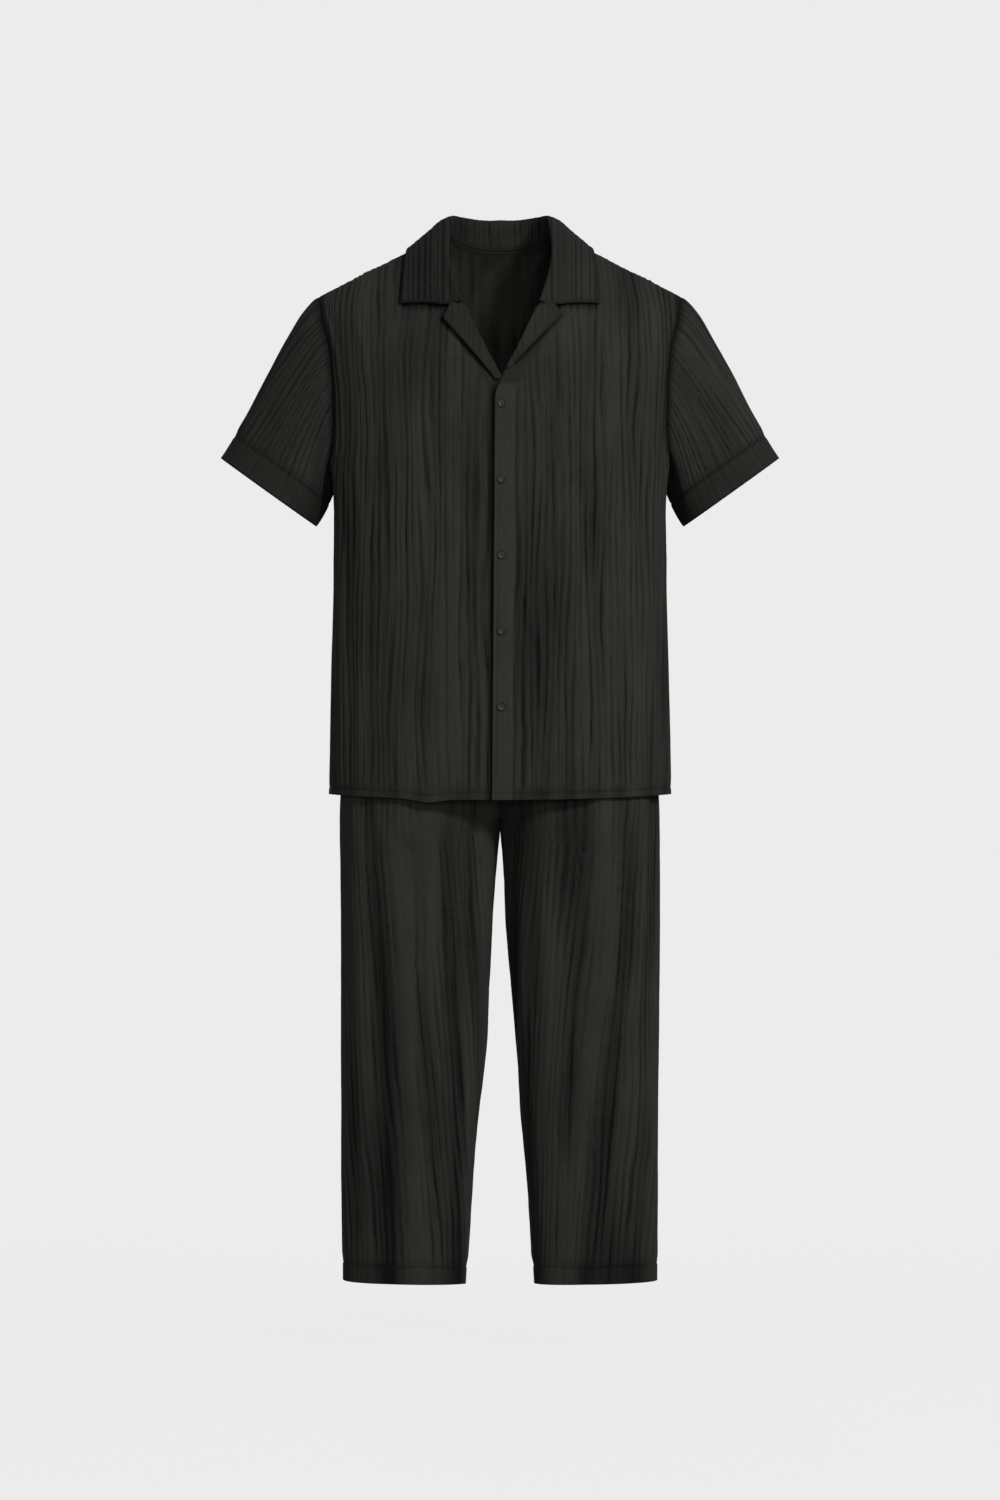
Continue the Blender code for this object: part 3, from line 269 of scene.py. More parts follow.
def ridge_y(x):
    """Depth of the shoulder line."""
    share = np.clip((np.abs(x) - NECK_HALF) / (SHOULDER_HALF - NECK_HALF), 0, 1)
    return RIDGE_Y_NECK + (RIDGE_Y_SHOULDER - RIDGE_Y_NECK) * share


def cap(face, x):
    """Drop and roundness of the shoulder cap at x."""
    drop = (FRONT_ROUND if face == "front" else BACK_ROUND) - ROUND_LOSS * np.clip(
        np.abs(x) - NECK_HALF, 0, None) * (1.0 if face == "front" else 0.3)
    start, gain = (1.5, 0.5) if face == "front" else (1.8, 0.2)
    return drop, start + gain * np.clip((np.abs(x) - NECK_HALF) / 0.12, 0, 1)


def body_y(face, x, z):
    """Depth of the shirt's surface over a point of the front view."""
    half, depth = smooth(BODY, "half", z), smooth(BODY, face, z)
    sign = -1.0 if face == "front" else 1.0
    inside = np.clip(1 - np.abs(x / half) ** SECTION_POWER, 0, 1)
    low = SIDE_Y + sign * depth * inside ** (1 / SECTION_POWER)
    drop, roundness = cap(face, x)
    t = np.clip((ridge_z(x) - z) / drop, 0, 1)
    full = (1 - (1 - t) ** roundness) ** (1 / roundness)
    return ridge_y(x) + (low - ridge_y(x)) * full


def cap_z(face, x, turn):
    """Height on the shoulder cap, turned from the ridge (0) to the chest (90 degrees)."""
    drop, roundness = cap(face, x)
    return ridge_z(x) - drop * (1 - np.cos(np.radians(turn)) ** (2 / roundness))


def section_turn(x, half):
    """Angle round the section, 90 degrees at the centre and 0 at the side."""
    return np.degrees(np.arccos(np.clip(power(x / half, SECTION_POWER / 2), -1, 1)))


def back_neck_turn(x):
    """Cap angle at which the back panel ends at the neck seam."""
    inside = np.clip(1 - np.abs(x / NECK_HALF) ** BACK_NECK_POWER, 0, 1)
    reach = BACK_NECK_REACH * inside ** (1 / BACK_NECK_POWER)
    _, roundness = cap("back", x)
    return np.degrees(np.arcsin(reach ** (roundness / 2)))


def cap_point(x, turn):
    """Point of the shoulder cap: front for positive turns, back for negative ones."""
    front = turn >= 0
    z = np.where(front, cap_z("front", x, np.clip(turn, 0, 90)),
                 cap_z("back", x, np.clip(-turn, 0, 90)))
    y = np.where(front, body_y("front", x, z), body_y("back", x, z))
    return np.stack([x, y, z], axis=-1)


def cap_normal(x, turn):
    """Upward normal of the shoulder cap."""
    step_x, step_turn = 0.002, 2.0
    over = cap_point(x + step_x, turn) - cap_point(x - step_x, turn)
    down = cap_point(x, turn + step_turn) - cap_point(x, turn - step_turn)
    normal = unit(np.cross(over, down))
    return np.where(normal[..., 2:] < 0, -normal, normal)


def torso(face, s, row, neck=None, edge=None):
    """Points of half a shirt panel; s runs from the inner edge to the side."""
    s, row = np.broadcast_arrays(np.asarray(s, float), np.asarray(row, float))
    lifted = row > CAP_START
    share = np.clip((row - CAP_START) / (1 - CAP_START), 0, 1)
    turn = 90.0 * (1 - share)
    z_in, z_out = smooth(ROWS, "z_in", row), smooth(ROWS, "z_out", row)
    x = 0.14 * np.ones_like(s)
    for _ in range(5):
        if face == "back":
            turn = 90.0 - (90.0 - back_neck_turn(x)) * share
        line = z_in + (z_out - z_in) * ease(s)
        join = (line - cap_z(face, x, 90.0)) * (1 - ease(share / 0.35))
        z = np.where(lifted, cap_z(face, x, turn) + join, line)
        half = smooth(BODY, "half", z)
        if neck is None:
            x_in = np.zeros_like(s)
        else:
            x_in = np.where(lifted, smooth(neck, "x", turn), smooth(edge, "x", z_in))
        start = section_turn(x_in, half)
        end_cap = section_turn(smooth(CAP_EDGE, "x", 90.0 * (1 - share)), half)
        end = np.where(lifted, end_cap, smooth(ROWS, "turn", row))
        around = start * (1 - s) + end * s ** 3
        x = half * power(np.cos(np.radians(around)), 2 / SECTION_POWER)
    y = body_y(face, x, z)
    pinch = smooth(PINCH, "depth", z) * np.clip(1 - around / PINCH_TURN, 0, 1) ** 2
    x = x - np.where(lifted, 0, pinch)
    return np.stack([x, y, z], axis=-1)


def normals(grid, outward):
    """Unit normals of a grid of points, turned to the side of outward."""
    cross = unit(np.cross(np.gradient(grid, axis=0), np.gradient(grid, axis=1)))
    return -cross if np.sum(cross * outward) < 0 else cross


def outward_from(grid, centre=(0.0, 0.0)):
    """Rough outward directions of a piece that goes round a vertical axis."""
    out = grid - np.array([centre[0], centre[1], 0.0])
    out[..., 2] = 0.0
    return out


def mirrored(grid, side):
    """The same grid on the wearer's left (+1) or right (-1)."""
    return grid * np.array([side, 1.0, 1.0])


def lengths(grid, axis):
    """Distance along the lines of a grid from its first point."""
    steps = np.linalg.norm(np.diff(grid, axis=axis), axis=-1)
    shape = list(steps.shape)
    shape[axis] = 1
    return np.concatenate([np.zeros(shape), np.cumsum(steps, axis=axis)], axis=axis)


def resample(points, count):
    """The same line with evenly spaced points; extra columns of numbers ride along."""
    along = lengths(points[:, :3], 0)
    goal = np.linspace(0, along[-1], count)
    return np.stack([np.interp(goal, along, points[:, k]) for k in range(points.shape[1])], axis=-1)


# Crinkle and relief
HEM_STEP, HEM_GROOVE = 0.0004, 0.0006     # rise of the doubled hem, groove of its stitching
HEM_FADE, SEAM_FADE = 0.014, 0.012        # widths over which the crinkle dies away
SEAM_WIDTH = 0.004                        # width over which the cloth is drawn in to a seam
CREASE_MIDDLE = 0.55                      # usual height of the crinkle, from 0 to 1
FOLD_SHARE = 0.75                         # share of the pattern's large folds in the shirt
DRAPE_WIDTH, DRAPE_RUN = 0.034, 0.55      # usual width and length of a broad drape


def noise(u, v, seed):
    """Smooth gradient noise, about -0.7 to 0.7, the same on every run."""
    iu, iv = np.floor(u), np.floor(v)
    fu, fv = u - iu, v - iv
    wu, wv = fu ** 3 * (fu * (fu * 6 - 15) + 10), fv ** 3 * (fv * (fv * 6 - 15) + 10)

    def corner(du, dv):
        turn = np.sin((iu + du) * 127.1 + (iv + dv) * 311.7 + seed * 74.7) * 43758.5453
        turn = (turn - np.floor(turn)) * 2 * math.pi
        return np.cos(turn) * (fu - du) + np.sin(turn) * (fv - dv)

    low = corner(0, 0) * (1 - wu) + corner(1, 0) * wu
    high = corner(0, 1) * (1 - wu) + corner(1, 1) * wu
    return low * (1 - wv) + high * wv


def valleys(u, v, width, run, seed):
    """Broad ridges parted by long narrow valleys of uneven depth."""
    line = np.abs(np.sin(math.pi * u / width)) ** 0.7
    depth = 0.30 + 0.70 * ease(0.5 + 1.5 * noise(u / (1.05 * width), v / run, seed))
    return 1 - depth * (1 - line)


def crinkle(u, v, seed, width):
    """Height from 0 (valley) to about 1 (ridge) of gauze that is creased along v.

    The creases sway in three sizes. Broad and fine valleys, small bumps and faint cross
    wrinkles are mixed, and the broad valleys are stronger in some patches than in others.
    """
    drift = 0.95 * width * noise(u / (2.6 * width), v / 0.20, seed + 1.3)
    drift = drift + 1.2 * width * noise(u / (10.0 * width), v / 0.34, seed + 2.9)
    drift = drift + 0.12 * width * noise(u / (3.0 * width), v / 0.035, seed + 6.2)
    wide = valleys(u + drift, v, width, 0.15, seed)
    fine = valleys(u + 0.8 * drift + 0.37 * width, v, 0.46 * width, 0.10, seed + 5.1)
    small = noise((u + drift) / (0.30 * width), v / 0.040, seed + 8.7) + 0.5
    cross = noise(u / (1.6 * width), v / 0.0070, seed + 12.1) + 0.5
    patch = ease(0.5 + 1.6 * noise(u / 0.07, v / 0.22, seed + 20.0))
    return wide * (0.40 + 0.22 * patch) + fine * (0.28 - 0.06 * patch) + 0.10 * small + 0.04 * cross


def bands(u, v, seed):
    """Broad soft drapes down the cloth, from about -1 to 1."""
    sway = 0.012 * noise(u / 0.08, v / 0.30, seed + 1.7)
    return np.clip(2.0 * noise((u + sway) / DRAPE_WIDTH, v / DRAPE_RUN, seed), -1, 1)


def folds_height(folds, s, row, wave):
    """Height of the pattern's large folds."""
    total = np.zeros_like(s)
    gap = float(np.mean(np.diff(folds["across"])))
    columns_of = (folds[key] for key in ("across", "low", "high", "rise", "sway"))
    for across, low, high, rise, sway in zip(*columns_of):
        centre = across + sway * np.sin(wave * 9.0 * row + 11.0 * across)
        stand = ease((row - low) / 0.12) * ease((high - row) / 0.12)
        total += rise * stand * peak(s - centre, 0.40 * gap)
    return total


def hem_relief(distance, hem, edge, groove):
    """Doubled cloth of a hem and its stitched groove, by the distance from the free edge."""
    return HEM_STEP * ease((hem - distance) / edge) - HEM_GROOVE * peak(distance - hem, groove)


def seam_dip(distance, depth):
    """How far the cloth is drawn in beside a seam."""
    return depth * (1 - ease(distance / SEAM_WIDTH))


def shaded_tone_of(crease, shown, level=0.55, contrast=1.1, painted_shading=0.0):
    """Tone of the cloth with painted shade, from 0 in a deep crease to 1 on a ridge; the last value adds
    painted light and shade.
    """
    return np.clip(level + (crease - CREASE_MIDDLE) * shown * contrast + painted_shading, 0, 1)


# Meshes
def mesh_object(name, points, faces, material):
    """A linked object with soft shading."""
    mesh = bpy.data.meshes.new(name)
    mesh.from_pydata(np.asarray(points, float).tolist(), [], faces)
    mesh.validate()
    mesh.shade_smooth()
    mesh.materials.append(material)
    piece = bpy.data.objects.new(name, mesh)
    bpy.context.scene.collection.objects.link(piece)
    return piece


def cloth_wall(name, outer, normal, crease, uv, material, thickness, step=(3, 2), wrap=False):
    """Closed wall of cloth: a fine outer grid and a sparser inner one that follows it."""
    count_r, count_c = outer.shape[:2]
    rows = sorted(set(range(0, count_r, step[0])) | {count_r - 1})
    cols = list(range(0, count_c, step[1]))
    if not wrap and cols[-1] != count_c - 1:
        cols.append(count_c - 1)
    inner = outer[np.ix_(rows, cols)] - normal[np.ix_(rows, cols)] * thickness
    points = np.concatenate([outer.reshape(-1, 3), inner.reshape(-1, 3)])
    base = count_r * count_c
    index = np.arange(base).reshape(count_r, count_c)
    under = base + np.arange(len(rows) * len(cols)).reshape(len(rows), len(cols))
    if wrap:
        index = np.concatenate([index, index[:, :1]], axis=1)
        under = np.concatenate([under, under[:, :1]], axis=1)
        cols = cols + [count_c]
    top = np.stack([index[:-1, :-1], index[:-1, 1:], index[1:, 1:], index[1:, :-1]], axis=-1)
    low = np.stack([under[:-1, :-1], under[1:, :-1], under[1:, 1:], under[:-1, 1:]], axis=-1)
    faces = top.reshape(-1, 4).tolist() + low.reshape(-1, 4).tolist()
    for r, k in ((0, 0), (count_r - 1, len(rows) - 1)):
        for n in range(len(cols) - 1):
            run = index[r, cols[n]:cols[n + 1] + 1].tolist()
            strip = run + [int(under[k, n + 1]), int(under[k, n])]
            faces.append(strip[::-1] if r == 0 else strip)
    if not wrap:
        for c, k in ((0, 0), (count_c - 1, len(cols) - 1)):
            for n in range(len(rows) - 1):
                run = index[rows[n]:rows[n + 1] + 1, c].tolist()
                strip = run + [int(under[n + 1, k]), int(under[n, k])]
                faces.append(strip if c == 0 else strip[::-1])
    piece = mesh_object(name, points, faces, material)
    mesh = piece.data
    bm = bmesh.new()
    bm.from_mesh(mesh)
    bmesh.ops.recalc_face_normals(bm, faces=bm.faces)
    bm.to_mesh(mesh)
    bm.free()
    cols = [c % count_c for c in cols[:-1]] if wrap else cols
    # The crease attribute holds the tone, with painted shade in creases, beside seams and under overlapping
    # parts.
    painted_tones = np.concatenate([crease.ravel(), crease[np.ix_(rows, cols)].ravel()])
    places = np.concatenate([uv.reshape(-1, 2), uv[np.ix_(rows, cols)].reshape(-1, 2)])
    layer = mesh.attributes.new("crease", "FLOAT", "POINT")
    layer.data.foreach_set("value", np.ascontiguousarray(painted_tones, dtype=np.float32))
    corner = np.empty(len(mesh.loops), dtype=np.int32)
    mesh.loops.foreach_get("vertex_index", corner)
    mesh.uv_layers.new(name="cloth").data.foreach_set("uv", places[corner].astype(np.float32).ravel())
    return piece


def flat_size(plain):
    """Width, length and area of a piece of cloth before it is creased."""
    width, length = lengths(plain, 1)[:, -1].max(), lengths(plain, 0)[-1].max()
    a, b = plain[1:, 1:] - plain[:-1, :-1], plain[1:, :-1] - plain[:-1, 1:]
    area = 0.5 * np.linalg.norm(np.cross(a, b), axis=-1).sum()
    return (float(width), float(length)), float(min(area, 0.999 * width * length))


def dress(piece, nodes, plain):
    """Ride, replacement and cloth size of one piece of cloth."""
    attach(piece, "root")
    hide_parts(*nodes)
    flat, area = flat_size(plain)


def line_at(grid, normal, distance, goal, axis=0):
    """The line on a grid at one distance from an edge, with its normals."""
    if axis == 1:
        grid, normal, distance = (np.swapaxes(a, 0, 1) for a in (grid, normal, distance))
    points, directions = [], []
    for c in range(grid.shape[1]):
        d = distance[:, c]
        order = np.argsort(d)
        points.append([np.interp(goal, d[order], grid[order, c, k]) for k in range(3)])
        directions.append([np.interp(goal, d[order], normal[order, c, k]) for k in range(3)])
    return np.array(points), unit(np.array(directions))


def stitch_run(lines, pitch, thread, closed=False):
    """Points and faces of small thread stitches along several lines."""
    points, faces = [], []
    for line, normal in lines:
        if closed:
            line, normal = np.concatenate([line, line[:1]]), np.concatenate([normal, normal[:1]])
        data = np.concatenate([line, normal], axis=1)
        if len(line) < 2:
            continue
        total = lengths(line, 0)[-1]
        count = max(2, int(total / pitch))
        data = resample(data, 4 * count + 1)
        for k in range(count):
            a, m, b = data[4 * k], data[4 * k + 1], data[4 * k + 3]
            along = unit(b[:3] - a[:3])
            up = unit(m[3:])
            side = np.cross(along, up)
            base = len(points)
            points.append(a[:3] - up * thread * 0.4)
            for place in (0.22, 0.78):
                centre = a[:3] + (b[:3] - a[:3]) * place + up * thread * 0.30
                for cs, cu in ((1, 0), (0, 1), (-1, 0), (0, -1)):
                    points.append(centre + (side * cs + up * cu * 0.8) * thread * 0.5)
            points.append(b[:3] - up * thread * 0.4)
            for q in range(4):
                n = (q + 1) % 4
                faces.append((base, base + 1 + q, base + 1 + n))
                faces.append((base + 1 + q, base + 5 + q, base + 5 + n, base + 1 + n))
                faces.append((base + 5 + q, base + 9, base + 5 + n))
    return points, faces


def stitches(slot, lines, settings, closed=False):
    """Sewing of one piece along its lines."""
    points, faces = stitch_run(lines, settings.stitch_pitch, settings.thread, closed)
    piece = mesh_object(slot + "_stitching", points, faces, thread_material())
    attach(piece, "root")


# Materials
def shader_of(name):
    """A new named material and its shader, or the one made before and None."""
    found = bpy.data.materials.get(name)
    if found:
        return found, None
    material = bpy.data.materials.new(name)
    material.use_nodes = True
    return material, material.node_tree.nodes["Principled BSDF"]


def put(node, **values):
    """Set inputs of a node, or else its own settings."""
    for key, value in values.items():
        if key in node.inputs:
            node.inputs[key].default_value = value
        else:
            setattr(node, key, value)
    return node


def add(tree, kind, **values):
    """A new node with some of its values."""
    return put(tree.nodes.new(kind), **values)


def ramp(tree, source, low, high, start=0.0, end=1.0):
    """Colour output of a ramp between two colours, driven by a value."""
    node = add(tree, "ShaderNodeValToRGB")
    for stop, place, colour in zip(node.color_ramp.elements, (start, end), (low, high)):
        stop.position, stop.color = place, (*colour, 1.0)
    tree.links.new(source, node.inputs["Fac"])
    return node.outputs["Color"]


def bump(tree, source, strength, distance, below=None):
    """Normal output of a bump node, laid over another one where given."""
    node = add(tree, "ShaderNodeBump", Strength=strength, Distance=distance)
    tree.links.new(source, node.inputs["Height"])
    if below:
        tree.links.new(below, node.inputs["Normal"])
    return node.outputs["Normal"]


def product(tree, first, second):
    """Output of two values multiplied."""
    node = add(tree, "ShaderNodeMath", operation="MULTIPLY")
    tree.links.new(first, node.inputs[0])
    tree.links.new(second, node.inputs[1])
    return node.outputs["Value"]


def mapped(tree, source, **ends):
    """Output of a value brought to another range."""
    node = add(tree, "ShaderNodeMapRange", **ends)
    tree.links.new(source, node.inputs["Value"])
    return node.outputs["Result"]


def scaled(colour, factor):
    """A lighter or darker colour."""
    return tuple(factor * c for c in colour)


def gauze_material():
    """Double gauze: painted shade in the valleys, dull ridges, slubs, plain weave and a faint fuzz."""
    material, shader = shader_of("crinkled gauze")
    if not shader:
        return material
    settings = bpy.context.scene.garment_cloth
    tree, link = material.node_tree, material.node_tree.links.new
    put(shader, **{"Roughness": 0.94, "Specular IOR Level": 0.12, "Sheen Weight": settings.fuzz,
                   "Sheen Roughness": 0.55, "Sheen Tint": (0.75, 0.74, 0.70, 1.0)})
    crease = add(tree, "ShaderNodeAttribute", attribute_name="crease")
    # Painted shade: the crease attribute runs the colour from the dark valley shade to the ridge colour.
    colour = ramp(tree, crease.outputs["Fac"], settings.valley_shade, settings.ridge, 0.22, 0.92)
    place = add(tree, "ShaderNodeUVMap", uv_map="cloth").outputs["UV"]
    stretch = add(tree, "ShaderNodeMapping", Scale=(260.0, 30.0, 1.0))
    link(place, stretch.inputs["Vector"])
    slub = add(tree, "ShaderNodeTexNoise", Scale=1.0, Detail=3.0, Roughness=0.6)
    link(stretch.outputs["Vector"], slub.inputs["Vector"])
    cloud = add(tree, "ShaderNodeTexNoise", Scale=11.0, Detail=2.0)
    link(place, cloud.inputs["Vector"])
    shade_fine = mapped(tree, slub.outputs["Fac"], **{"To Min": 0.80, "To Max": 1.20})
    shade_broad = mapped(tree, cloud.outputs["Fac"],
                         **{"From Min": 0.3, "From Max": 0.7, "To Min": 0.90, "To Max": 1.10})
    tint = add(tree, "ShaderNodeMix", data_type="RGBA", blend_type="MULTIPLY", Factor=1.0)
    link(colour, tint.inputs["A"])
    link(product(tree, shade_fine, shade_broad), tint.inputs["B"])
    link(tint.outputs["Result"], shader.inputs["Base Color"])
    warp = add(tree, "ShaderNodeTexWave", Scale=360.0, Distortion=0.6, Detail=1.0)
    weft = add(tree, "ShaderNodeTexWave", Scale=330.0, Distortion=0.6, Detail=1.0,
               bands_direction="Y")
    for wave in (warp, weft):
        link(place, wave.inputs["Vector"])
    weave = bump(tree, product(tree, warp.outputs["Fac"], weft.outputs["Fac"]), 0.30, 0.00025)
    link(bump(tree, slub.outputs["Fac"], 0.60, 0.0010, weave), shader.inputs["Normal"])
    return material


def thread_material():
    """Spun sewing thread, a touch lighter than the cloth."""
    material, shader = shader_of("sewing thread")
    if not shader:
        return material
    ridge = bpy.context.scene.garment_cloth.ridge
    tree, link = material.node_tree, material.node_tree.links.new
    put(shader, **{"Roughness": 0.70, "Specular IOR Level": 0.25})
    place = add(tree, "ShaderNodeTexCoord")
    twist = add(tree, "ShaderNodeTexWave", Scale=900.0, Distortion=1.5, bands_direction="DIAGONAL")
    link(place.outputs["Object"], twist.inputs["Vector"])
    colour = ramp(tree, twist.outputs["Fac"], scaled(ridge, 0.75), scaled(ridge, 1.35))
    link(colour, shader.inputs["Base Color"])
    link(bump(tree, twist.outputs["Fac"], 0.4, 0.0001), shader.inputs["Normal"])
    return material


def resin_material():
    """Dark moulded resin with faint clouding."""
    material, shader = shader_of("button resin")
    if not shader:
        return material
    resin = bpy.context.scene.garment_buttons.resin
    tree, link = material.node_tree, material.node_tree.links.new
    put(shader, **{"Specular IOR Level": 0.28})
    place = add(tree, "ShaderNodeTexCoord")
    cloud = add(tree, "ShaderNodeTexNoise", Scale=240.0, Detail=4.0)
    link(place.outputs["Object"], cloud.inputs["Vector"])
    fog = cloud.outputs["Fac"]
    link(ramp(tree, fog, scaled(resin, 0.7), scaled(resin, 1.35), 0.3, 0.7), shader.inputs["Base Color"])
    link(mapped(tree, fog, **{"To Min": 0.42, "To Max": 0.58}), shader.inputs["Roughness"])
    link(bump(tree, fog, 0.15, 0.0001), shader.inputs["Normal"])
    return material


# Shirt panels
FRONT_COLUMNS, BACK_COLUMNS = 224, 168
PLACKET_TOP = -0.205                      # height at which the fronts part
DRAPE_HEIGHT = 0.0022                     # height of the broad drapes of the fronts
# Each front also carries three strengths of painted light and shade: along its broad drapes, over its lower
# part, and the painted shadow under the collar.
FRONTS = {
    1: {"label": "left", "neck": NECK_UPPER, "edge": EDGE_UPPER, "folds": FOLDS_UPPER,
        "lapel": LAPEL_UPPER, "wave": 1.0, "seed": 11.0, "drape_seed": 68.0, "bold": 0.55,
        "drape_painted_shading": 0.36, "low_painted_light": 0.0, "collar_shade": 0.15},
    -1: {"label": "right", "neck": NECK_UNDER, "edge": EDGE_UNDER, "folds": FOLDS_UNDER,
         "lapel": LAPEL_UNDER, "wave": 1.3, "seed": 37.0, "drape_seed": 54.0, "bold": 0.10,
         "drape_painted_shading": 0.32, "low_painted_light": 0.10, "collar_shade": 0.45},
}
BACK_SEED, SLEEVE_SEED, COLLAR_SEED, LAPEL_SEED, LEG_SEED = 71.0, 101.0, 131.0, 151.0, 171.0


def shirt_rows():
    """Rows of a shirt panel: close at the hem, then even to the shoulder."""
    hem = np.linspace(0.0, 0.034, 17)
    side = np.linspace(0.034, PIT_ROW, 92)[1:]
    hole = np.linspace(PIT_ROW, CAP_START, 34)[1:]
    over = np.linspace(CAP_START, 1.0, 54)[1:]
    return np.concatenate([hem, side, hole, over])


SHIRT_ROWS = shirt_rows()
PIT_INDEX = int(np.argmin(np.abs(SHIRT_ROWS - PIT_ROW)))
SHIRT_CACHE = {}                          # smooth panels, to which the sleeves are fitted


def cover(x, z):
    """Share of each point that lies under the collar or a lapel."""
    collar = ease((z + 0.115) / 0.02) * ease((0.150 - np.abs(x)) / 0.02)
    lapel = ease((z + 0.215) / 0.02) * ease((0.092 - np.abs(x)) / 0.02)
    return np.maximum(collar, lapel)


def shoulder_pull(points):
    """Fine folds that run out from the shoulder point across the front."""
    dx = SHOULDER_HALF - 0.004 - points[..., 0]
    dz = -0.075 - points[..., 2]
    reach = np.hypot(dx, dz)
    angle = np.degrees(np.arctan2(dz, dx + 1e-9))
    sway = 3.0 * noise(reach / 0.03, angle / 25.0, 4.3)
    wave = 0.5 + 0.5 * np.sin(np.radians(angle) * 34.0 + sway)
    window = ease((angle - 68.0) / 8.0) * ease((101.0 - angle) / 6.0)
    near = ease(reach / 0.03) * ease((0.150 - reach) / 0.08)
    return wave * window * near


def painted_shadow(plain, side):
    """Painted shadow on the cloth close under the collar, a lapel or the placket."""
    x, z = plain[..., 0], plain[..., 2]
    table = FRONTS[side]["lapel"]
    edge = np.interp(z, table["z"][::-1], table["edge"][::-1])
    lapel = peak(x - edge, 0.0050) * ease((z - table["z"][-1]) / 0.01)
    lapel = lapel * ease((table["z"][0] + 0.006 - z) / 0.006)
    collar = peak(x - 0.1305, 0.0060) * ease((z + 0.106) / 0.006)
    under = peak(z + 0.1040, 0.0050) * ease((0.132 - x) / 0.006) * ease((x - edge) / 0.004)
    total = 0.45 * lapel + 0.35 * under + FRONTS[side]["collar_shade"] * collar
    if side < 0:
        gap = x + smooth(EDGE_UPPER, "x", z)
        total = total + 0.50 * peak(gap, 0.0080) * ease((-0.200 - z) / 0.02)
    return total


def front_plain(side):
    """Smooth surface of one front, in its own half."""
    s = np.linspace(0, 1, FRONT_COLUMNS)
    plain = torso("front", s[None, :], SHIRT_ROWS[:, None], FRONTS[side]["neck"], FRONTS[side]["edge"])
    normal = normals(plain, outward_from(plain))
    if side < 0:
        depth = UNDER_DEPTH * ease((UNDER_START - plain[..., 0]) / (UNDER_START - UNDER_FULL))
        depth = depth * ease((-0.150 - plain[..., 2]) / 0.040)
        plain = plain - normal * depth[..., None]
    return s, plain, normal


def build_front(side, settings, cloth):
    """One front with placket, hem and folds; returns lines to be stitched."""
    cut = FRONTS[side]
    name = "shirt_front_" + cut["label"]
    s, plain, normal = front_plain(side)
    x, z = plain[..., 0], plain[..., 2]
    row = SHIRT_ROWS[:, None] + 0 * s[None, :]
    across, up = lengths(plain, 1), lengths(plain, 0)
    u = plain[:, :1, 0] + across
    from_side, from_top = across[:, -1:] - across, up[-1:] - up
    hem = ease((up - settings.shirt_hem - 0.001) / HEM_FADE)
    seams = ease(from_side / SEAM_FADE) * ease(from_top / 0.010)
    body = ease((across - settings.placket + 0.002) / 0.008)
    shown = (0.30 + 0.70 * hem) * (0.12 + 0.88 * seams) * (0.22 + 0.78 * body)
    hidden = cover(x, z)
    bold = 1.0 + cut["bold"] * peak(x - 0.185, 0.045) * ease((z + 0.62) / 0.2)
    crease = crinkle(u, up, cut["seed"], cloth.crinkle_width)
    wide = bands(u, up, cut["drape_seed"]) * (0.45 + 0.55 * ease((-0.30 - z) / 0.25))
    height = (cloth.crinkle_depth * (crease - 0.5) * shown * bold * (1 - 0.8 * hidden)
              + DRAPE_HEIGHT * wide * shown)
    folds = folds_height(cut["folds"], s[None, :] + 0 * row, row, cut["wave"])
    height += FOLD_SHARE * folds * (1 - hidden) * (0.15 + 0.85 * seams)
    height += 0.0015 * shoulder_pull(plain) * seams
    height += hem_relief(up, settings.shirt_hem, 0.001, 0.0012)
    height -= seam_dip(from_side, 0.0005) + seam_dip(from_top, 0.0004)
    low = ease((PLACKET_TOP - z) / 0.01)
    if side > 0:
        height += 0.0006 * ease((settings.edge_stitch - across) / 0.0016) * low
        height -= 0.0004 * peak(across - settings.edge_stitch, 0.0012) * low
        height += 0.0005 * ease((settings.placket - across) / 0.0014) * low
        height += 0.0009 * peak(across, 0.006) * low
    outer = plain + normal * height[..., None]
    if side < 0:
        outer[..., 2] -= 0.0045 * peak(x - 0.096, 0.022) * ease((-0.70 - z) / 0.06)
    # Painted light and shade: the broad drapes lighter on their crests and darker in their troughs, and the
    # lower part of the wearer's right front painted lighter.
    painted_shading = cut["drape_painted_shading"] * wide * body + cut["low_painted_light"] * ease((-0.45 - z) / 0.15)
    tone = shaded_tone_of(crease, shown, level=0.57, painted_shading=painted_shading)
    # Painted shade in the stitched groove of the hem.
    tone = tone - 0.20 * peak(up - settings.shirt_hem, 0.0014)
    # Painted shadow under the collar, lapels and placket, and painted shade beside the side and armhole
    # seam.
    tone = tone - painted_shadow(plain, side) - 0.35 * peak(from_side, 0.008)
    if side > 0:
        tone = tone + 0.36 * (1 - body) * low
        # Painted shade in the groove of the front edge stitching.
        tone = tone - 0.25 * peak(across - settings.edge_stitch, 0.0010) * low
    outer, normal = mirrored(outer, side), mirrored(normal, side)
    uv = np.stack([u, up], axis=-1)
    piece = cloth_wall(name + "_cloth", outer, normal, tone, uv, gauze_material(), cloth.wall)
    dress(piece, [name], plain)
    SHIRT_CACHE[name] = mirrored(plain, side)
    lines = [line_at(outer, normal, up, settings.shirt_hem)]
    if side > 0:
        edge, direction = line_at(outer, normal, across, settings.edge_stitch, axis=1)
        keep = edge[:, 2] < PLACKET_TOP
        lines.append((edge[keep], direction[keep]))
    return lines


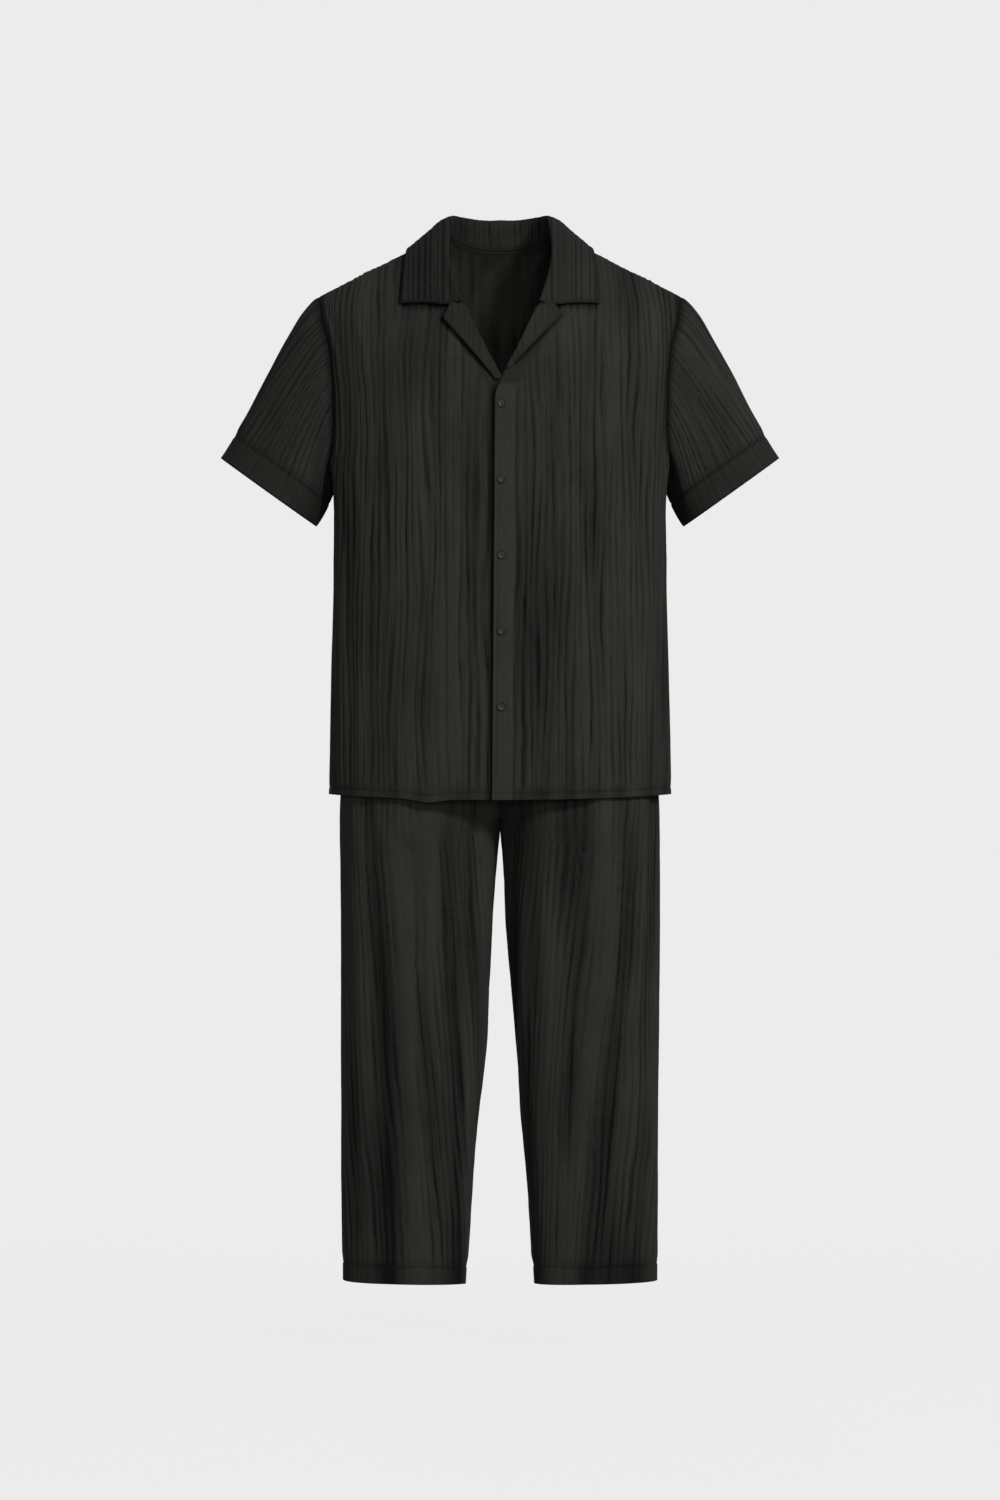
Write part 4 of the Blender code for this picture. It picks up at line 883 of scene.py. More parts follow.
def build_back(settings, cloth):
    """The back, in one piece from side to side; returns its hem line to be stitched."""
    half_s = np.linspace(0, 1, BACK_COLUMNS)
    half = torso("back", half_s[None, :], SHIRT_ROWS[:, None])
    plain = np.concatenate([mirrored(half[:, :0:-1], -1), half], axis=1)
    s = np.concatenate([-half_s[:0:-1], half_s])
    row = SHIRT_ROWS[:, None] + 0 * s[None, :]
    normal = normals(plain, outward_from(plain))
    across, up = lengths(plain, 1), lengths(plain, 0)
    middle = len(half_s) - 1
    u = across - across[:, middle:middle + 1]
    from_side = np.minimum(across, across[:, -1:] - across)
    from_top = up[-1:] - up
    hem = ease((up - settings.shirt_hem - 0.001) / HEM_FADE)
    seams = ease(from_side / SEAM_FADE) * ease(from_top / 0.010)
    under = ease((0.130 - np.abs(plain[..., 0])) / 0.02) * ease((plain[..., 2] + 0.085) / 0.02)
    crease = crinkle(u, up, BACK_SEED, cloth.crinkle_width)
    shown = (0.30 + 0.70 * hem) * (0.12 + 0.88 * seams)
    height = cloth.crinkle_depth * (crease - 0.5) * shown * (1 - 0.8 * under)
    folds = folds_height(FOLDS_BACK, np.abs(s)[None, :] + 0 * row, row, 0.8)
    height += FOLD_SHARE * folds * (0.15 + 0.85 * seams) * (1 - under)
    height += hem_relief(up, settings.shirt_hem, 0.001, 0.0012)
    height -= seam_dip(from_side, 0.0005) + seam_dip(from_top, 0.0004)
    outer = plain + normal * height[..., None]
    uv = np.stack([u, up], axis=-1)
    piece = cloth_wall("shirt_back_cloth", outer, normal, shaded_tone_of(crease, shown), uv,
                       gauze_material(), cloth.wall)
    dress(piece, ["shirt_back"], plain)
    SHIRT_CACHE["shirt_back"] = plain
    return [line_at(outer, normal, up, settings.shirt_hem)]


def sleeve_surface(front, back, along, count):
    """Sleeve grid from the armhole edges of its two panels, on the wearer's left."""
    top, pit = (front[-1] + back[-1]) / 2, (front[0] + back[0]) / 2
    front = resample(np.concatenate([[pit], front[1:-1], [top]]), count + 1)
    back = resample(np.concatenate([[top], back[-2:0:-1], [pit]]), count + 1)
    ring = np.concatenate([front, back[1:-1]])
    share = np.concatenate([1 - np.linspace(0, 1, count + 1), np.linspace(0, 1, count + 1)[1:-1]])
    side = np.concatenate([-np.ones(count + 1), np.ones(count - 1)])
    outer, inner = np.array(CUFF_OUTER), np.array(CUFF_INNER)
    centre, reach = (outer + inner) / 2, np.linalg.norm(outer - inner) / 2
    line = unit(outer - inner)
    angle = np.pi * share
    round_x = power(np.cos(angle), 2 / CUFF_POWER) * reach
    round_y = power(np.sin(angle), 2 / CUFF_POWER) * CUFF_DEPTH
    cuff = np.stack([centre[0] + line[0] * round_x, CUFF_Y + side * round_y,
                     centre[1] + line[1] * round_x], axis=-1)
    start = unit(np.stack([smooth(SLEEVE_START, "x", share), side * smooth(SLEEVE_START, "y", share),
                           smooth(SLEEVE_START, "z", share)], axis=-1))
    axis = np.array([-line[1], 0.0, line[0]])
    axis = axis if axis[2] < 0 else -axis
    end = unit(axis + (np.array(UNDERARM_WAY) - axis) * share[:, None] ** 2)
    length = np.linalg.norm(cuff - ring, axis=1, keepdims=True)
    start_pull = length * (CAP_PULL + (PIT_PULL - CAP_PULL) * share[:, None])
    w = np.asarray(along)[:, None, None]
    return hermite(w, ring, start * start_pull, cuff, end * (length * ARM_PULL)), share, side


def build_sleeve(side, settings, cloth):
    """One sleeve, creased along the arm, with its deep hem."""
    name = "shirt_sleeve_" + FRONTS[side]["label"]
    front = mirrored(SHIRT_CACHE["shirt_front_" + FRONTS[side]["label"]], side)
    back = SHIRT_CACHE["shirt_back"]
    back = back if side > 0 else mirrored(back[:, ::-1], -1)
    along = np.linspace(0, 1, 86)
    grid, share, half = sleeve_surface(front[PIT_INDEX:, -1], back[PIT_INDEX:, -1], along, 130)
    middle = grid.mean(axis=1, keepdims=True)
    wrapped = np.concatenate([grid[:, -1:], grid, grid[:, :1]], axis=1)
    normal = normals(wrapped, wrapped - middle)[:, 1:-1]
    down = lengths(grid, 0)
    from_cuff = down[-1:] - down
    turn = half * share
    u = 0.235 * turn[None, :] * (1 - 0.12 * along[:, None])
    crease = crinkle(u, down + 0.3 * np.abs(u), SLEEVE_SEED + side, 0.85 * cloth.crinkle_width)
    hem = ease((from_cuff - settings.sleeve_hem - 0.001) / 0.012)
    seams = ease(down / 0.010) * ease((1 - share[None, :]) / 0.035)
    shown = (0.35 + 0.65 * hem) * (0.15 + 0.85 * seams)
    height = 0.85 * cloth.crinkle_depth * (crease - 0.5) * shown
    sway = 2.2 * noise(turn[None, :] * 5.0, down / 0.05, 9.0 + side)
    wave = 0.5 + 0.5 * np.sin(turn[None, :] * 31.0 + sway)
    height += 0.0013 * wave * ease(down / 0.04) * hem * ease((0.95 - share[None, :]) / 0.3)
    height += hem_relief(from_cuff, settings.sleeve_hem, 0.0015, 0.0016)
    height -= seam_dip(down, 0.0006)
    outer = grid + normal * height[..., None]
    outer[..., 0] -= UNDERARM_TUCK * (1 - ease(down / 0.006)) * ease((share[None, :] - 0.60) / 0.30)
    # Painted shade in the stitched groove of the hem.
    tone = shaded_tone_of(crease, shown) - 0.30 * peak(from_cuff - settings.sleeve_hem, 0.0018)
    # Painted shade: darker towards the underarm and beside the armhole seam.
    tone = tone - 0.35 * ease((share[None, :] - 0.62) / 0.38) - 0.25 * peak(down, 0.008)
    outer, normal = mirrored(outer, side), mirrored(normal, side)
    uv = np.stack([u + 0.5, down], axis=-1)
    piece = cloth_wall(name + "_cloth", outer, normal, tone, uv, gauze_material(), cloth.wall,
                       wrap=True)
    dress(piece, [name], np.concatenate([grid, grid[:, :1]], axis=1))
    return [line_at(outer, normal, from_cuff, settings.sleeve_hem)]


# Collar and lapels
FOLD_ROWS = (0.0, 0.5, 0.85)              # rows of the stand, as shares of its height
ROLL_ANGLES = (165, 140, 115, 90, 65, 42, 20)
LAPEL_LIFT, LAPEL_ROLL, LAPEL_WALL = 0.0024, 0.0016, 0.0014
EDGE_SOFT = 0.0012                        # width of the step and groove beside the edge stitching
FINE = (1, 1)                             # inner wall as fine as the outer one


def collar_foot(count):
    """Points round the neck seam from right to left, each with its x and cap angle."""
    front_turn = np.linspace(COLLAR_GORGE_TURN, 0, 60)
    left = np.stack([smooth(NECK_UPPER, "x", front_turn), front_turn], axis=-1)
    right = np.stack([-smooth(NECK_UNDER, "x", front_turn), front_turn], axis=-1)
    angle = np.linspace(-math.pi / 2, math.pi / 2, 81)[1:-1]
    x_back = NECK_HALF * np.sin(angle)
    back = np.stack([x_back, -back_neck_turn(np.abs(x_back))], axis=-1)
    line = np.concatenate([right, back, left[::-1]])
    return resample(np.concatenate([cap_point(line[:, 0], line[:, 1]), line], axis=1), count)


def collar_surface():
    """Smooth grid of stand, fold and fall, and the direction in which the stand rises."""
    data = collar_foot(251)
    foot, turn = data[:, :3], data[:, 4]
    along = lengths(foot, 0)
    share = np.abs(along - along[-1] / 2) / (along[-1] / 2)
    forward = ease((share - 0.45) / 0.55)[:, None]
    slope = cap_normal(foot[:, 0], turn)
    up = unit(np.array([0.0, 0.0, 1.0]) * (1 - forward) + slope * forward)
    tangent = np.gradient(foot, axis=0)
    for _ in range(12):
        tangent[1:-1] = (tangent[:-2] + 2 * tangent[1:-1] + tangent[2:]) / 4
    inside = -unit(np.cross(up, tangent))
    height, lean = smooth(STAND, "height", share)[:, None], smooth(STAND, "lean", share)[:, None]
    fold = foot + up * height + inside * lean
    side = np.where(foot[:, 0] < 0, -1.0, 1.0)
    edge_x, edge_turn = smooth(COLLAR_EDGE, "x", share) * side, smooth(COLLAR_EDGE, "turn", share)
    section = [foot + (fold - foot) * k for k in FOLD_ROWS]
    section.append(fold - inside * FOLD_WIDTH * 0.4 + up * FOLD_CROWN)
    for part in COLLAR_FALL:
        x = foot[:, 0] + (edge_x - foot[:, 0]) * part
        at = turn + (edge_turn - turn) * part
        lift = (COLLAR_CLEAR + COLLAR_WALL) * ease(3.0 * part)
        spread = FOLD_WIDTH * (1 - part) ** 2
        section.append(cap_point(x, at) + cap_normal(x, at) * lift - inside * spread
                       + up * height * (1 - part) ** 0.85)
    return upsample(np.stack(section), 68), up


def build_collar(settings, cloth):
    """Stand and fall of the collar, turned over at a soft crown."""
    grid, up = collar_surface()
    guide = np.broadcast_to(up, grid.shape) * np.linspace(-0.2, 1, len(grid))[:, None, None]
    normal = normals(grid, guide)
    down, across = lengths(grid, 0), lengths(grid, 1)
    from_edge = down[-1:] - down
    inset = np.minimum(from_edge, np.minimum(across, across[:, -1:] - across))
    crease = crinkle(grid[..., 0] * 1.15, down, COLLAR_SEED, 0.8 * cloth.crinkle_width)
    shown = ease(inset / 0.008) * ease(down / 0.010)
    stitch = settings.collar_stitch
    on_fall = ease((down - 0.02) / 0.01)
    rise = 0.35 * cloth.crinkle_depth * (crease - 0.5) * shown
    rise += 0.0005 * ease((stitch - inset) / EDGE_SOFT) * on_fall
    rise -= 0.0004 * peak(inset - stitch, EDGE_SOFT) * on_fall
    outer = grid + normal * rise[..., None]
    tone = shaded_tone_of(crease, shown, level=0.46, contrast=1.0)
    # Painted shade: the wearer's right half of the collar darker, as it faces away from the light.
    tone = tone - 0.11 * ease((-grid[..., 0] - 0.03) / 0.03)
    uv = np.stack([across - across[:, -1:] / 2 + 0.5, down], axis=-1)
    piece = cloth_wall("shirt_collar_cloth", outer, normal, tone, uv, gauze_material(), COLLAR_WALL,
                       step=FINE)
    dress(piece, ["shirt_collar"], grid)
    edge, direction = line_at(outer, normal, from_edge, stitch)
    keep = (across[-1] > stitch) & (across[-1, -1] - across[-1] > stitch)
    lines = [(edge[keep], direction[keep])]
    fall = (down[:, 0] > 0.030) & (from_edge[:, 0] > stitch)
    for distance in (across, across[:, -1:] - across):
        end, facing = line_at(outer, normal, distance, stitch, axis=1)
        lines.append((end[fall], facing[fall]))
    return lines


def upsample(rows, count):
    """A smooth surface through a few rows, at evenly spaced steps."""
    steps = np.linalg.norm(np.diff(rows, axis=0), axis=-1).mean(axis=1)
    place = np.concatenate([[0], np.cumsum(steps)])
    slope = np.zeros_like(rows)
    gaps = np.diff(place)[:, None, None]
    delta = np.diff(rows, axis=0) / gaps
    slope[1:-1] = (delta[:-1] * gaps[1:] + delta[1:] * gaps[:-1]) / (gaps[1:] + gaps[:-1])
    slope[0], slope[-1] = delta[0], delta[-1]
    goal = np.linspace(0, place[-1], count)
    k = np.clip(np.searchsorted(place, goal, side="right") - 1, 0, len(place) - 2)
    width = (place[k + 1] - place[k])[:, None, None]
    t = (goal - place[k])[:, None, None] / width
    return hermite(t, rows[k], width * slope[k], rows[k + 1], width * slope[k + 1])


def build_lapel(side, settings, cloth):
    """Front facing turned out over the roll line, with a soft rolled edge."""
    name = "shirt_lapel_" + FRONTS[side]["label"]
    table = {key: values[::-1] for key, values in FRONTS[side]["lapel"].items()}
    z_line = np.linspace(table["z"][0], table["z"][-1], 74)[:, None]
    roll = np.interp(z_line, table["z"], table["roll"]) + 0.0012
    edge = np.interp(z_line, table["z"], table["edge"])
    s = np.linspace(0, 1, 34)[None, :]
    x = roll + (edge - roll) * s
    z = z_line + 0.0 * x
    plain = np.stack([x, body_y("front", x, z), z], axis=-1)
    normal = normals(plain, outward_from(plain))
    lift = cloth.lapel_lift * (0.35 + 0.65 * ease(s)) * ease((z_line - table["z"][0]) / 0.03)
    flat = plain + normal * (LAPEL_LIFT + lift)[..., None]
    start, out = flat[:, 0], normal[:, 0]
    inward = unit(flat[:, 0] - flat[:, 1])
    rolled = [start + inward * LAPEL_ROLL * math.sin(angle) - out * LAPEL_ROLL * (1 - math.cos(angle))
              for angle in np.radians(ROLL_ANGLES)]
    grid = np.concatenate([np.stack(rolled, axis=1), flat], axis=1)
    guide = np.concatenate([np.repeat(normal[:, :1], len(rolled), axis=1), normal], axis=1)
    normal = normals(grid, guide)
    across, up = lengths(grid, 1), lengths(grid, 0)
    from_edge, from_top = across[:, -1:] - across, up[-1:] - up
    inset = np.minimum(from_edge, from_top)
    crease = crinkle(grid[..., 0], grid[..., 2], LAPEL_SEED + side, 0.8 * cloth.crinkle_width)
    shown = ease(inset / 0.008)
    stitch = settings.collar_stitch
    rise = 0.25 * cloth.crinkle_depth * crease * shown
    rise += 0.0004 * ease((stitch - inset) / EDGE_SOFT)
    outer = mirrored(grid + normal * rise[..., None], side)
    normal = mirrored(normal, side)
    uv = np.stack([grid[..., 0], grid[..., 2] + 1.0], axis=-1)
    piece = cloth_wall(name + "_cloth", outer, normal, shaded_tone_of(crease, shown, contrast=0.6), uv,
                       gauze_material(), LAPEL_WALL, step=FINE)
    dress(piece, [name], grid)
    line, facing = line_at(outer, normal, from_edge, stitch, axis=1)
    keep = (across[:, -1] > 0.020) & (from_top[:, -1] > stitch)
    top, top_facing = line_at(outer, normal, from_top, stitch)
    ends = (across[-1] > 0.010) & (from_edge[-1] > stitch)
    return [(line[keep], facing[keep]), (top[ends], top_facing[ends])]


# Buttons
BUTTON_PROFILE = (                        # share of the radius and of the height, from the middle out
    (0.0, 0.0), (0.70, 0.0), (0.93, 0.16), (1.0, 0.42), (0.985, 0.72), (0.93, 0.93),
    (0.85, 1.0), (0.76, 0.95), (0.68, 0.74), (0.60, 0.60), (0.40, 0.55), (0.0, 0.55))
BUTTON_LIFT = 0.0012                      # gap between the cloth and the button
BUTTON_THREAD, HOLE_THREAD = 0.00038, 0.00055        # radius of the thread on buttons and buttonholes
HOLE_OVER, HOLE_HALF, HOLE_LIFT = 0.0016, 0.0011, 0.0013
CORNERS = ((-1, -1), (-1, 1), (1, -1), (1, 1))


def button_mesh(settings):
    """Turned button with a raised rim, a dished middle and four thread holes."""
    radius, tall = settings.diameter / 2, settings.height
    bm = bmesh.new()
    verts = [bm.verts.new((r * radius, 0.0, h * tall)) for r, h in BUTTON_PROFILE]
    edges = [bm.edges.new(pair) for pair in zip(verts, verts[1:])]
    bmesh.ops.spin(bm, geom=verts + edges, cent=(0, 0, 0), axis=(0, 0, 1), angle=2 * math.pi,
                   steps=56, use_merge=True, use_duplicate=False)
    bmesh.ops.remove_doubles(bm, verts=bm.verts, dist=1e-6)
    bmesh.ops.recalc_face_normals(bm, faces=bm.faces)
    body = object_of(bm, "button")
    bm = bmesh.new()
    for sx, sy in CORNERS:
        made = bmesh.ops.create_cone(bm, cap_ends=True, segments=16, radius1=settings.hole / 2,
                                     radius2=settings.hole / 2, depth=4 * tall)
        place = (sx * settings.hole_spread / 2, sy * settings.hole_spread / 2, 0)
        bmesh.ops.translate(bm, verts=made["verts"], vec=place)
    cutter = object_of(bm, "holes")
    cut = body.modifiers.new("holes", "BOOLEAN")
    cut.operation, cut.object, cut.solver = "DIFFERENCE", cutter, "EXACT"
    evaluated = body.evaluated_get(bpy.context.evaluated_depsgraph_get())
    result = bpy.data.meshes.new_from_object(evaluated)
    for piece in (body, cutter):
        bpy.data.objects.remove(piece, do_unlink=True)
    result.shade_smooth()
    result.set_sharp_from_angle(angle=math.radians(38))
    return result


def object_of(bm, name):
    """Turn an edited mesh into a linked object."""
    mesh = bpy.data.meshes.new(name)
    bm.to_mesh(mesh)
    bm.free()
    piece = bpy.data.objects.new(name, mesh)
    bpy.context.scene.collection.objects.link(piece)
    return piece


def button_places():
    """Number, point and directions of the upper front at each button."""
    for index in range(BUTTON_COUNT):
        z, x, step = BUTTON_TOP_Z - BUTTON_STEP * index, BUTTON_X, 0.004
        centre = np.array([x, float(body_y("front", x, z)), z])
        above = np.array([x, float(body_y("front", x, z + step)), z + step])
        up = unit(above - centre)
        out = unit(np.cross(up, np.array([-1.0, 0.0, 0.0])))
        out = out if out[1] < 0 else -out
        yield index, centre, np.cross(up, out), up, out


def turned(x, y, angle):
    """A flat point turned about the origin."""
    return (x * math.cos(angle) - y * math.sin(angle), x * math.sin(angle) + y * math.cos(angle))


def build_buttons(settings):
    """Buttons with cross-sewn thread, and the worked buttonholes under them."""
    shape = button_mesh(settings)
    shape.materials.clear()
    shape.materials.append(resin_material())
    spread = settings.hole_spread / 2
    for index, centre, side, up, out in button_places():
        mesh = shape.copy()
        points = np.empty(len(mesh.vertices) * 3)
        mesh.vertices.foreach_get("co", points)
        points = points.reshape(-1, 3)
        turn = math.radians(45 + 8 * (index % 3 - 1))
        px, py = turned(points[:, 0], points[:, 1], turn)
        placed = centre + px[:, None] * side + py[:, None] * up + (points[:, 2:] + BUTTON_LIFT) * out
        mesh.vertices.foreach_set("co", placed.ravel())
        mesh.update()
        name = f"shirt_button_{index + 1}"
        piece = bpy.data.objects.new(name + "_turned", mesh)
        bpy.context.scene.collection.objects.link(piece)
        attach(piece, "root")
        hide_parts(name)
        threads = []
        steps = np.linspace(0, 1, 9)[:, None]
        level = BUTTON_LIFT + settings.height * (0.30 + 0.38 * np.sin(np.pi * steps) ** 0.5)
        for pair in (((-1, -1), (1, 1)), ((-1, 1), (1, -1))):
            ends = []
            for sx, sy in pair:
                qx, qy = turned(sx, sy, turn)
                ends.append(centre + qx * spread * side + qy * spread * up)
            threads.append(ends[0] * (1 - steps) + ends[1] * steps + level * out)
        thread = tubes(name + "_thread", threads, BUTTON_THREAD, thread_material())
        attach(thread, "root")
    buttonholes(settings)


def tubes(name, paths, radius, material, sides=6):
    """Small round threads along several lines, with closed ends."""
    points, faces = [], []
    angles = [2 * math.pi * q / sides for q in range(sides)]
    for path in paths:
        tangent = unit(np.gradient(path, axis=0))
        across = unit(np.cross(tangent, np.array([0.0, -1.0, 0.0])))
        lift = np.cross(across, tangent)
        base = len(points)
        for k in range(len(path)):
            points += [path[k] + radius * (across[k] * math.cos(angle) + lift[k] * math.sin(angle))
                       for angle in angles]
        for k in range(len(path) - 1):
            a = base + k * sides
            for q in range(sides):
                n = (q + 1) % sides
                faces.append((a + q, a + n, a + sides + n, a + sides + q))
        faces.append(tuple(base + q for q in range(sides))[::-1])
        faces.append(tuple(base + (len(path) - 1) * sides + q for q in range(sides)))
    return mesh_object(name, points, faces, material)


def buttonholes(settings):
    """Worked upright slits in the upper front, seen just past each button."""
    paths = []
    half = settings.diameter / 2 + HOLE_OVER
    turns = np.linspace(0, 2 * math.pi, 41)
    for _, centre, side, up, out in button_places():
        ring = centre + HOLE_HALF * power(np.cos(turns), 0.5)[:, None] * side
        paths.append(ring + half * np.sin(turns)[:, None] * up + HOLE_LIFT * out)
    piece = tubes("shirt_buttonholes", paths, HOLE_THREAD, thread_material())
    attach(piece, "root")


# Trousers
LEGS = {"front": {"folds": FOLDS_LEG_FRONT, "curve": FORK_CURVE_FRONT, "sign": -1.0, "seed": 0.0},
        "back": {"folds": FOLDS_LEG_BACK, "curve": FORK_CURVE_BACK, "sign": 1.0, "seed": 9.0}}
SEAM_GAP = 0.0003                         # gap between waistband and panels, overlap at the fork
LEG_DRAPE = 0.0036                        # height of the broad drapes of the legs
GATHERS, GATHER_HEIGHT, CHANNEL_DEPTH = 96, 0.0016, 0.0006
BAND_WALL = 0.0022


def leg_rows():
    """Heights of each row at its inner and outer edge, and its angle round the fork."""
    waist = WAIST_TOP - WAISTBAND - SEAM_GAP
    rows = [(z, z, 0.0) for z in np.linspace(waist, FORK_START, 18)[:-1]]
    for angle in np.linspace(0, 90, 50)[:-1]:
        inner = FORK_START + (FORK_Z - FORK_START) * math.sin(math.radians(angle)) ** 0.8
        rows.append((inner, FORK_START + (FORK_OUTER_Z - FORK_START) * angle / 90, angle))
    for t in np.concatenate([np.linspace(0, 0.945, 108), np.linspace(0.945, 1.0, 26)[1:]]):
        outer = FORK_OUTER_Z + (LEG_HEM_OUTER - FORK_OUTER_Z) * t
        rows.append((FORK_Z + (LEG_HEM_INNER - FORK_Z) * t, outer, 90.0))
    return np.array(rows)


def leg_surface(face, s, rows):
    """Half of one trouser leg: s runs from the side seam to the fork and inseam."""
    z_in, z_out, angle = (rows[:, k][:, None] for k in range(3))
    z = z_out + (z_in - z_out) * s
    outer, inner, depth, middle = (smooth(TROUSERS, key, z) for key in ("outer", "inner", face, "middle"))
    split = ease((HIP_SPLIT - z) / (HIP_SPLIT - FORK_Z))
    centre = (outer + inner) / 2 * split
    reach = np.minimum(np.cos(np.radians(angle)) ** (2 / LEGS[face]["curve"]), 0.9995)
    reach = np.where(angle >= 90.0, 0.0, reach)
    width = (centre - inner) / (1 - reach ** LEG_POWER) ** (1 / LEG_POWER)
    end = 180.0 - np.degrees(np.arcsin(reach ** (LEG_POWER / 2)))
    spread = 0.62 * (1 - split)
    around = np.radians(end * (s + spread * s * (1 - s)))
    across = power(np.cos(around), 2 / LEG_POWER)
    x = centre + np.where(across > 0, outer - centre, width) * across
    y = middle + LEGS[face]["sign"] * depth * np.clip(np.sin(around), 0, 1) ** (2 / LEG_POWER)
    return np.stack([x, y, z], axis=-1)


def build_leg(face, side, settings, cloth):
    """Front or back of one trouser leg, creased down its length."""
    name = f"trousers_{face}_{FRONTS[side]['label']}"
    rows = leg_rows()
    s = np.linspace(0, 1, 158)
    plain = leg_surface(face, s[None, :], rows)
    outward = plain.copy()
    outward[..., 0] -= np.where(plain[..., 2] < FORK_Z, 0.115, 0.05)
    outward[..., 1] -= 0.004
    outward[..., 2] = 0.0
    normal = normals(plain, outward)
    across, down = lengths(plain, 1), lengths(plain, 0)
    from_hem = down[-1:] - down
    from_inner = across[:, -1:] - across
    u = across + 0.02
    seed = LEG_SEED + 3 * side + LEGS[face]["seed"]
    crease = crinkle(u, down, seed, cloth.crinkle_width)
    hem = ease((from_hem - settings.leg_hem - 0.001) / HEM_FADE)
    seams = ease(across / SEAM_FADE) * ease(from_inner / SEAM_FADE) * ease(down / SEAM_FADE)
    shown = (0.35 + 0.65 * hem) * (0.12 + 0.88 * seams)
    wide = bands(u, down, seed + 40.0)
    height = 0.85 * cloth.crinkle_depth * (crease - 0.5) * shown + LEG_DRAPE * wide * shown
    place = np.clip(from_hem / from_hem[0].max(), 0, 1)
    height += seams * folds_height(LEGS[face]["folds"], s[None, :] + 0 * place, place, 0.9 + 0.2 * side)
    height += hem_relief(from_hem, settings.leg_hem, 0.0012, 0.0014)
    height -= seam_dip(across, 0.0006) + seam_dip(from_inner, 0.0006)
    outer = plain + normal * height[..., None]
    join = (1 - ease(from_inner / 0.008)) * (rows[:, :1] > FORK_Z - 0.001)
    outer[..., 0] -= (outer[..., 0] + SEAM_GAP) * join
    # Painted light and shade: lighter higher up and darker towards the hems, and lighter on the crests of
    # the broad drapes than in their troughs.
    high = np.clip((plain[..., 2] + 1.08) / 0.25, -1, 1)
    tone = shaded_tone_of(crease, shown, level=0.58, painted_shading=0.46 * wide + 0.10 * high)
    # Painted shade in the stitched groove of the hem.
    tone = tone - 0.20 * peak(from_hem - settings.leg_hem, 0.0016)
    outer, normal = mirrored(outer, side), mirrored(normal, side)
    uv = np.stack([u, down], axis=-1)
    piece = cloth_wall(name + "_cloth", outer, normal, tone, uv, gauze_material(), cloth.wall)
    dress(piece, [name], plain)
    return [line_at(outer, normal, from_hem, settings.leg_hem)]


def build_waistband():
    """Elastic waistband, gathered all round."""
    around = np.linspace(0, 2 * math.pi, 721)[None, :-1]
    z = np.linspace(WAIST_TOP, WAIST_TOP - WAISTBAND, 22)[:, None] + 0 * around
    half, front, back, middle = (smooth(TROUSERS, key, z) for key in ("outer", "front", "back", "middle"))
    x = half * power(np.cos(around), 2 / LEG_POWER)
    y = middle + np.where(np.sin(around) < 0, front, back) * power(np.sin(around), 2 / LEG_POWER)
    grid = np.stack([x, y, z], axis=-1)
    wrapped = np.concatenate([grid[:, -1:], grid, grid[:, :1]], axis=1)
    normal = normals(wrapped, outward_from(wrapped, (0.0, 0.004)))[:, 1:-1]
    share = around / (2 * math.pi)
    t = np.linspace(0, 1, len(z))[:, None]
    gather = 0.5 + 0.5 * np.sin(2 * math.pi * GATHERS * share + 2.0 * noise(share * 40.0, t * 2.0, 7.0))
    channel = peak(t - 0.06, 0.03) + peak(t - 0.94, 0.03)
    swell = np.sin(math.pi * np.clip(t, 0.02, 0.98)) ** 0.4
    outer = grid + normal * (GATHER_HEIGHT * gather * swell - CHANNEL_DEPTH * channel)[..., None]
    uv = np.stack([share + 0 * t, WAISTBAND * t + 0 * share], axis=-1)
    # Painted shade: the waistband darker in the valleys of its gathers.
    piece = cloth_wall("trousers_waistband_cloth", outer, normal, 0.3 + 0.5 * gather, uv,
                       gauze_material(), BAND_WALL, wrap=True)
    dress(piece, ["trousers_waistband"],
          np.concatenate([grid, grid[:, :1]], axis=1))


# Settings
class GarmentCloth(bpy.types.PropertyGroup):
    """Colour, thickness and crinkle of the gauze."""

    ridge: FloatVectorProperty(name="Ridge colour", description="Colour of the cloth on its ridges",
                               subtype="COLOR", size=3, min=0.0, max=1.0, default=(0.0250, 0.0240, 0.0212))
    valley_shade: FloatVectorProperty(name="Valley colour", description="Colour of the cloth in its creases",
                                # Painted shade: the dark colour laid into the creases of the crinkle.
                                subtype="COLOR", size=3, min=0.0, max=1.0, default=(0.0022, 0.0021, 0.0019))
    fuzz: FloatProperty(name="Fuzz", description="Strength of the pale fuzz of the threads",
                        subtype="FACTOR", min=0.0, max=1.0, default=0.015)
    wall: FloatProperty(name="Thickness", description="Thickness of the two gauze layers",
                        unit="LENGTH", min=0.0005, max=0.003, default=0.0013)
    crinkle_depth: FloatProperty(name="Crinkle depth", description="Height of the ridges over the valleys",
                                 unit="LENGTH", min=0.0, max=0.004, default=0.0029)
    crinkle_width: FloatProperty(name="Crinkle width", description="Usual distance between two valleys",
                                 unit="LENGTH", min=0.004, max=0.04, default=0.0098)
    lapel_lift: FloatProperty(name="Lapel lift",
                              description="How far the lapel's edge stands off the chest",
                              unit="LENGTH", min=0.0, max=0.01, default=0.0045)


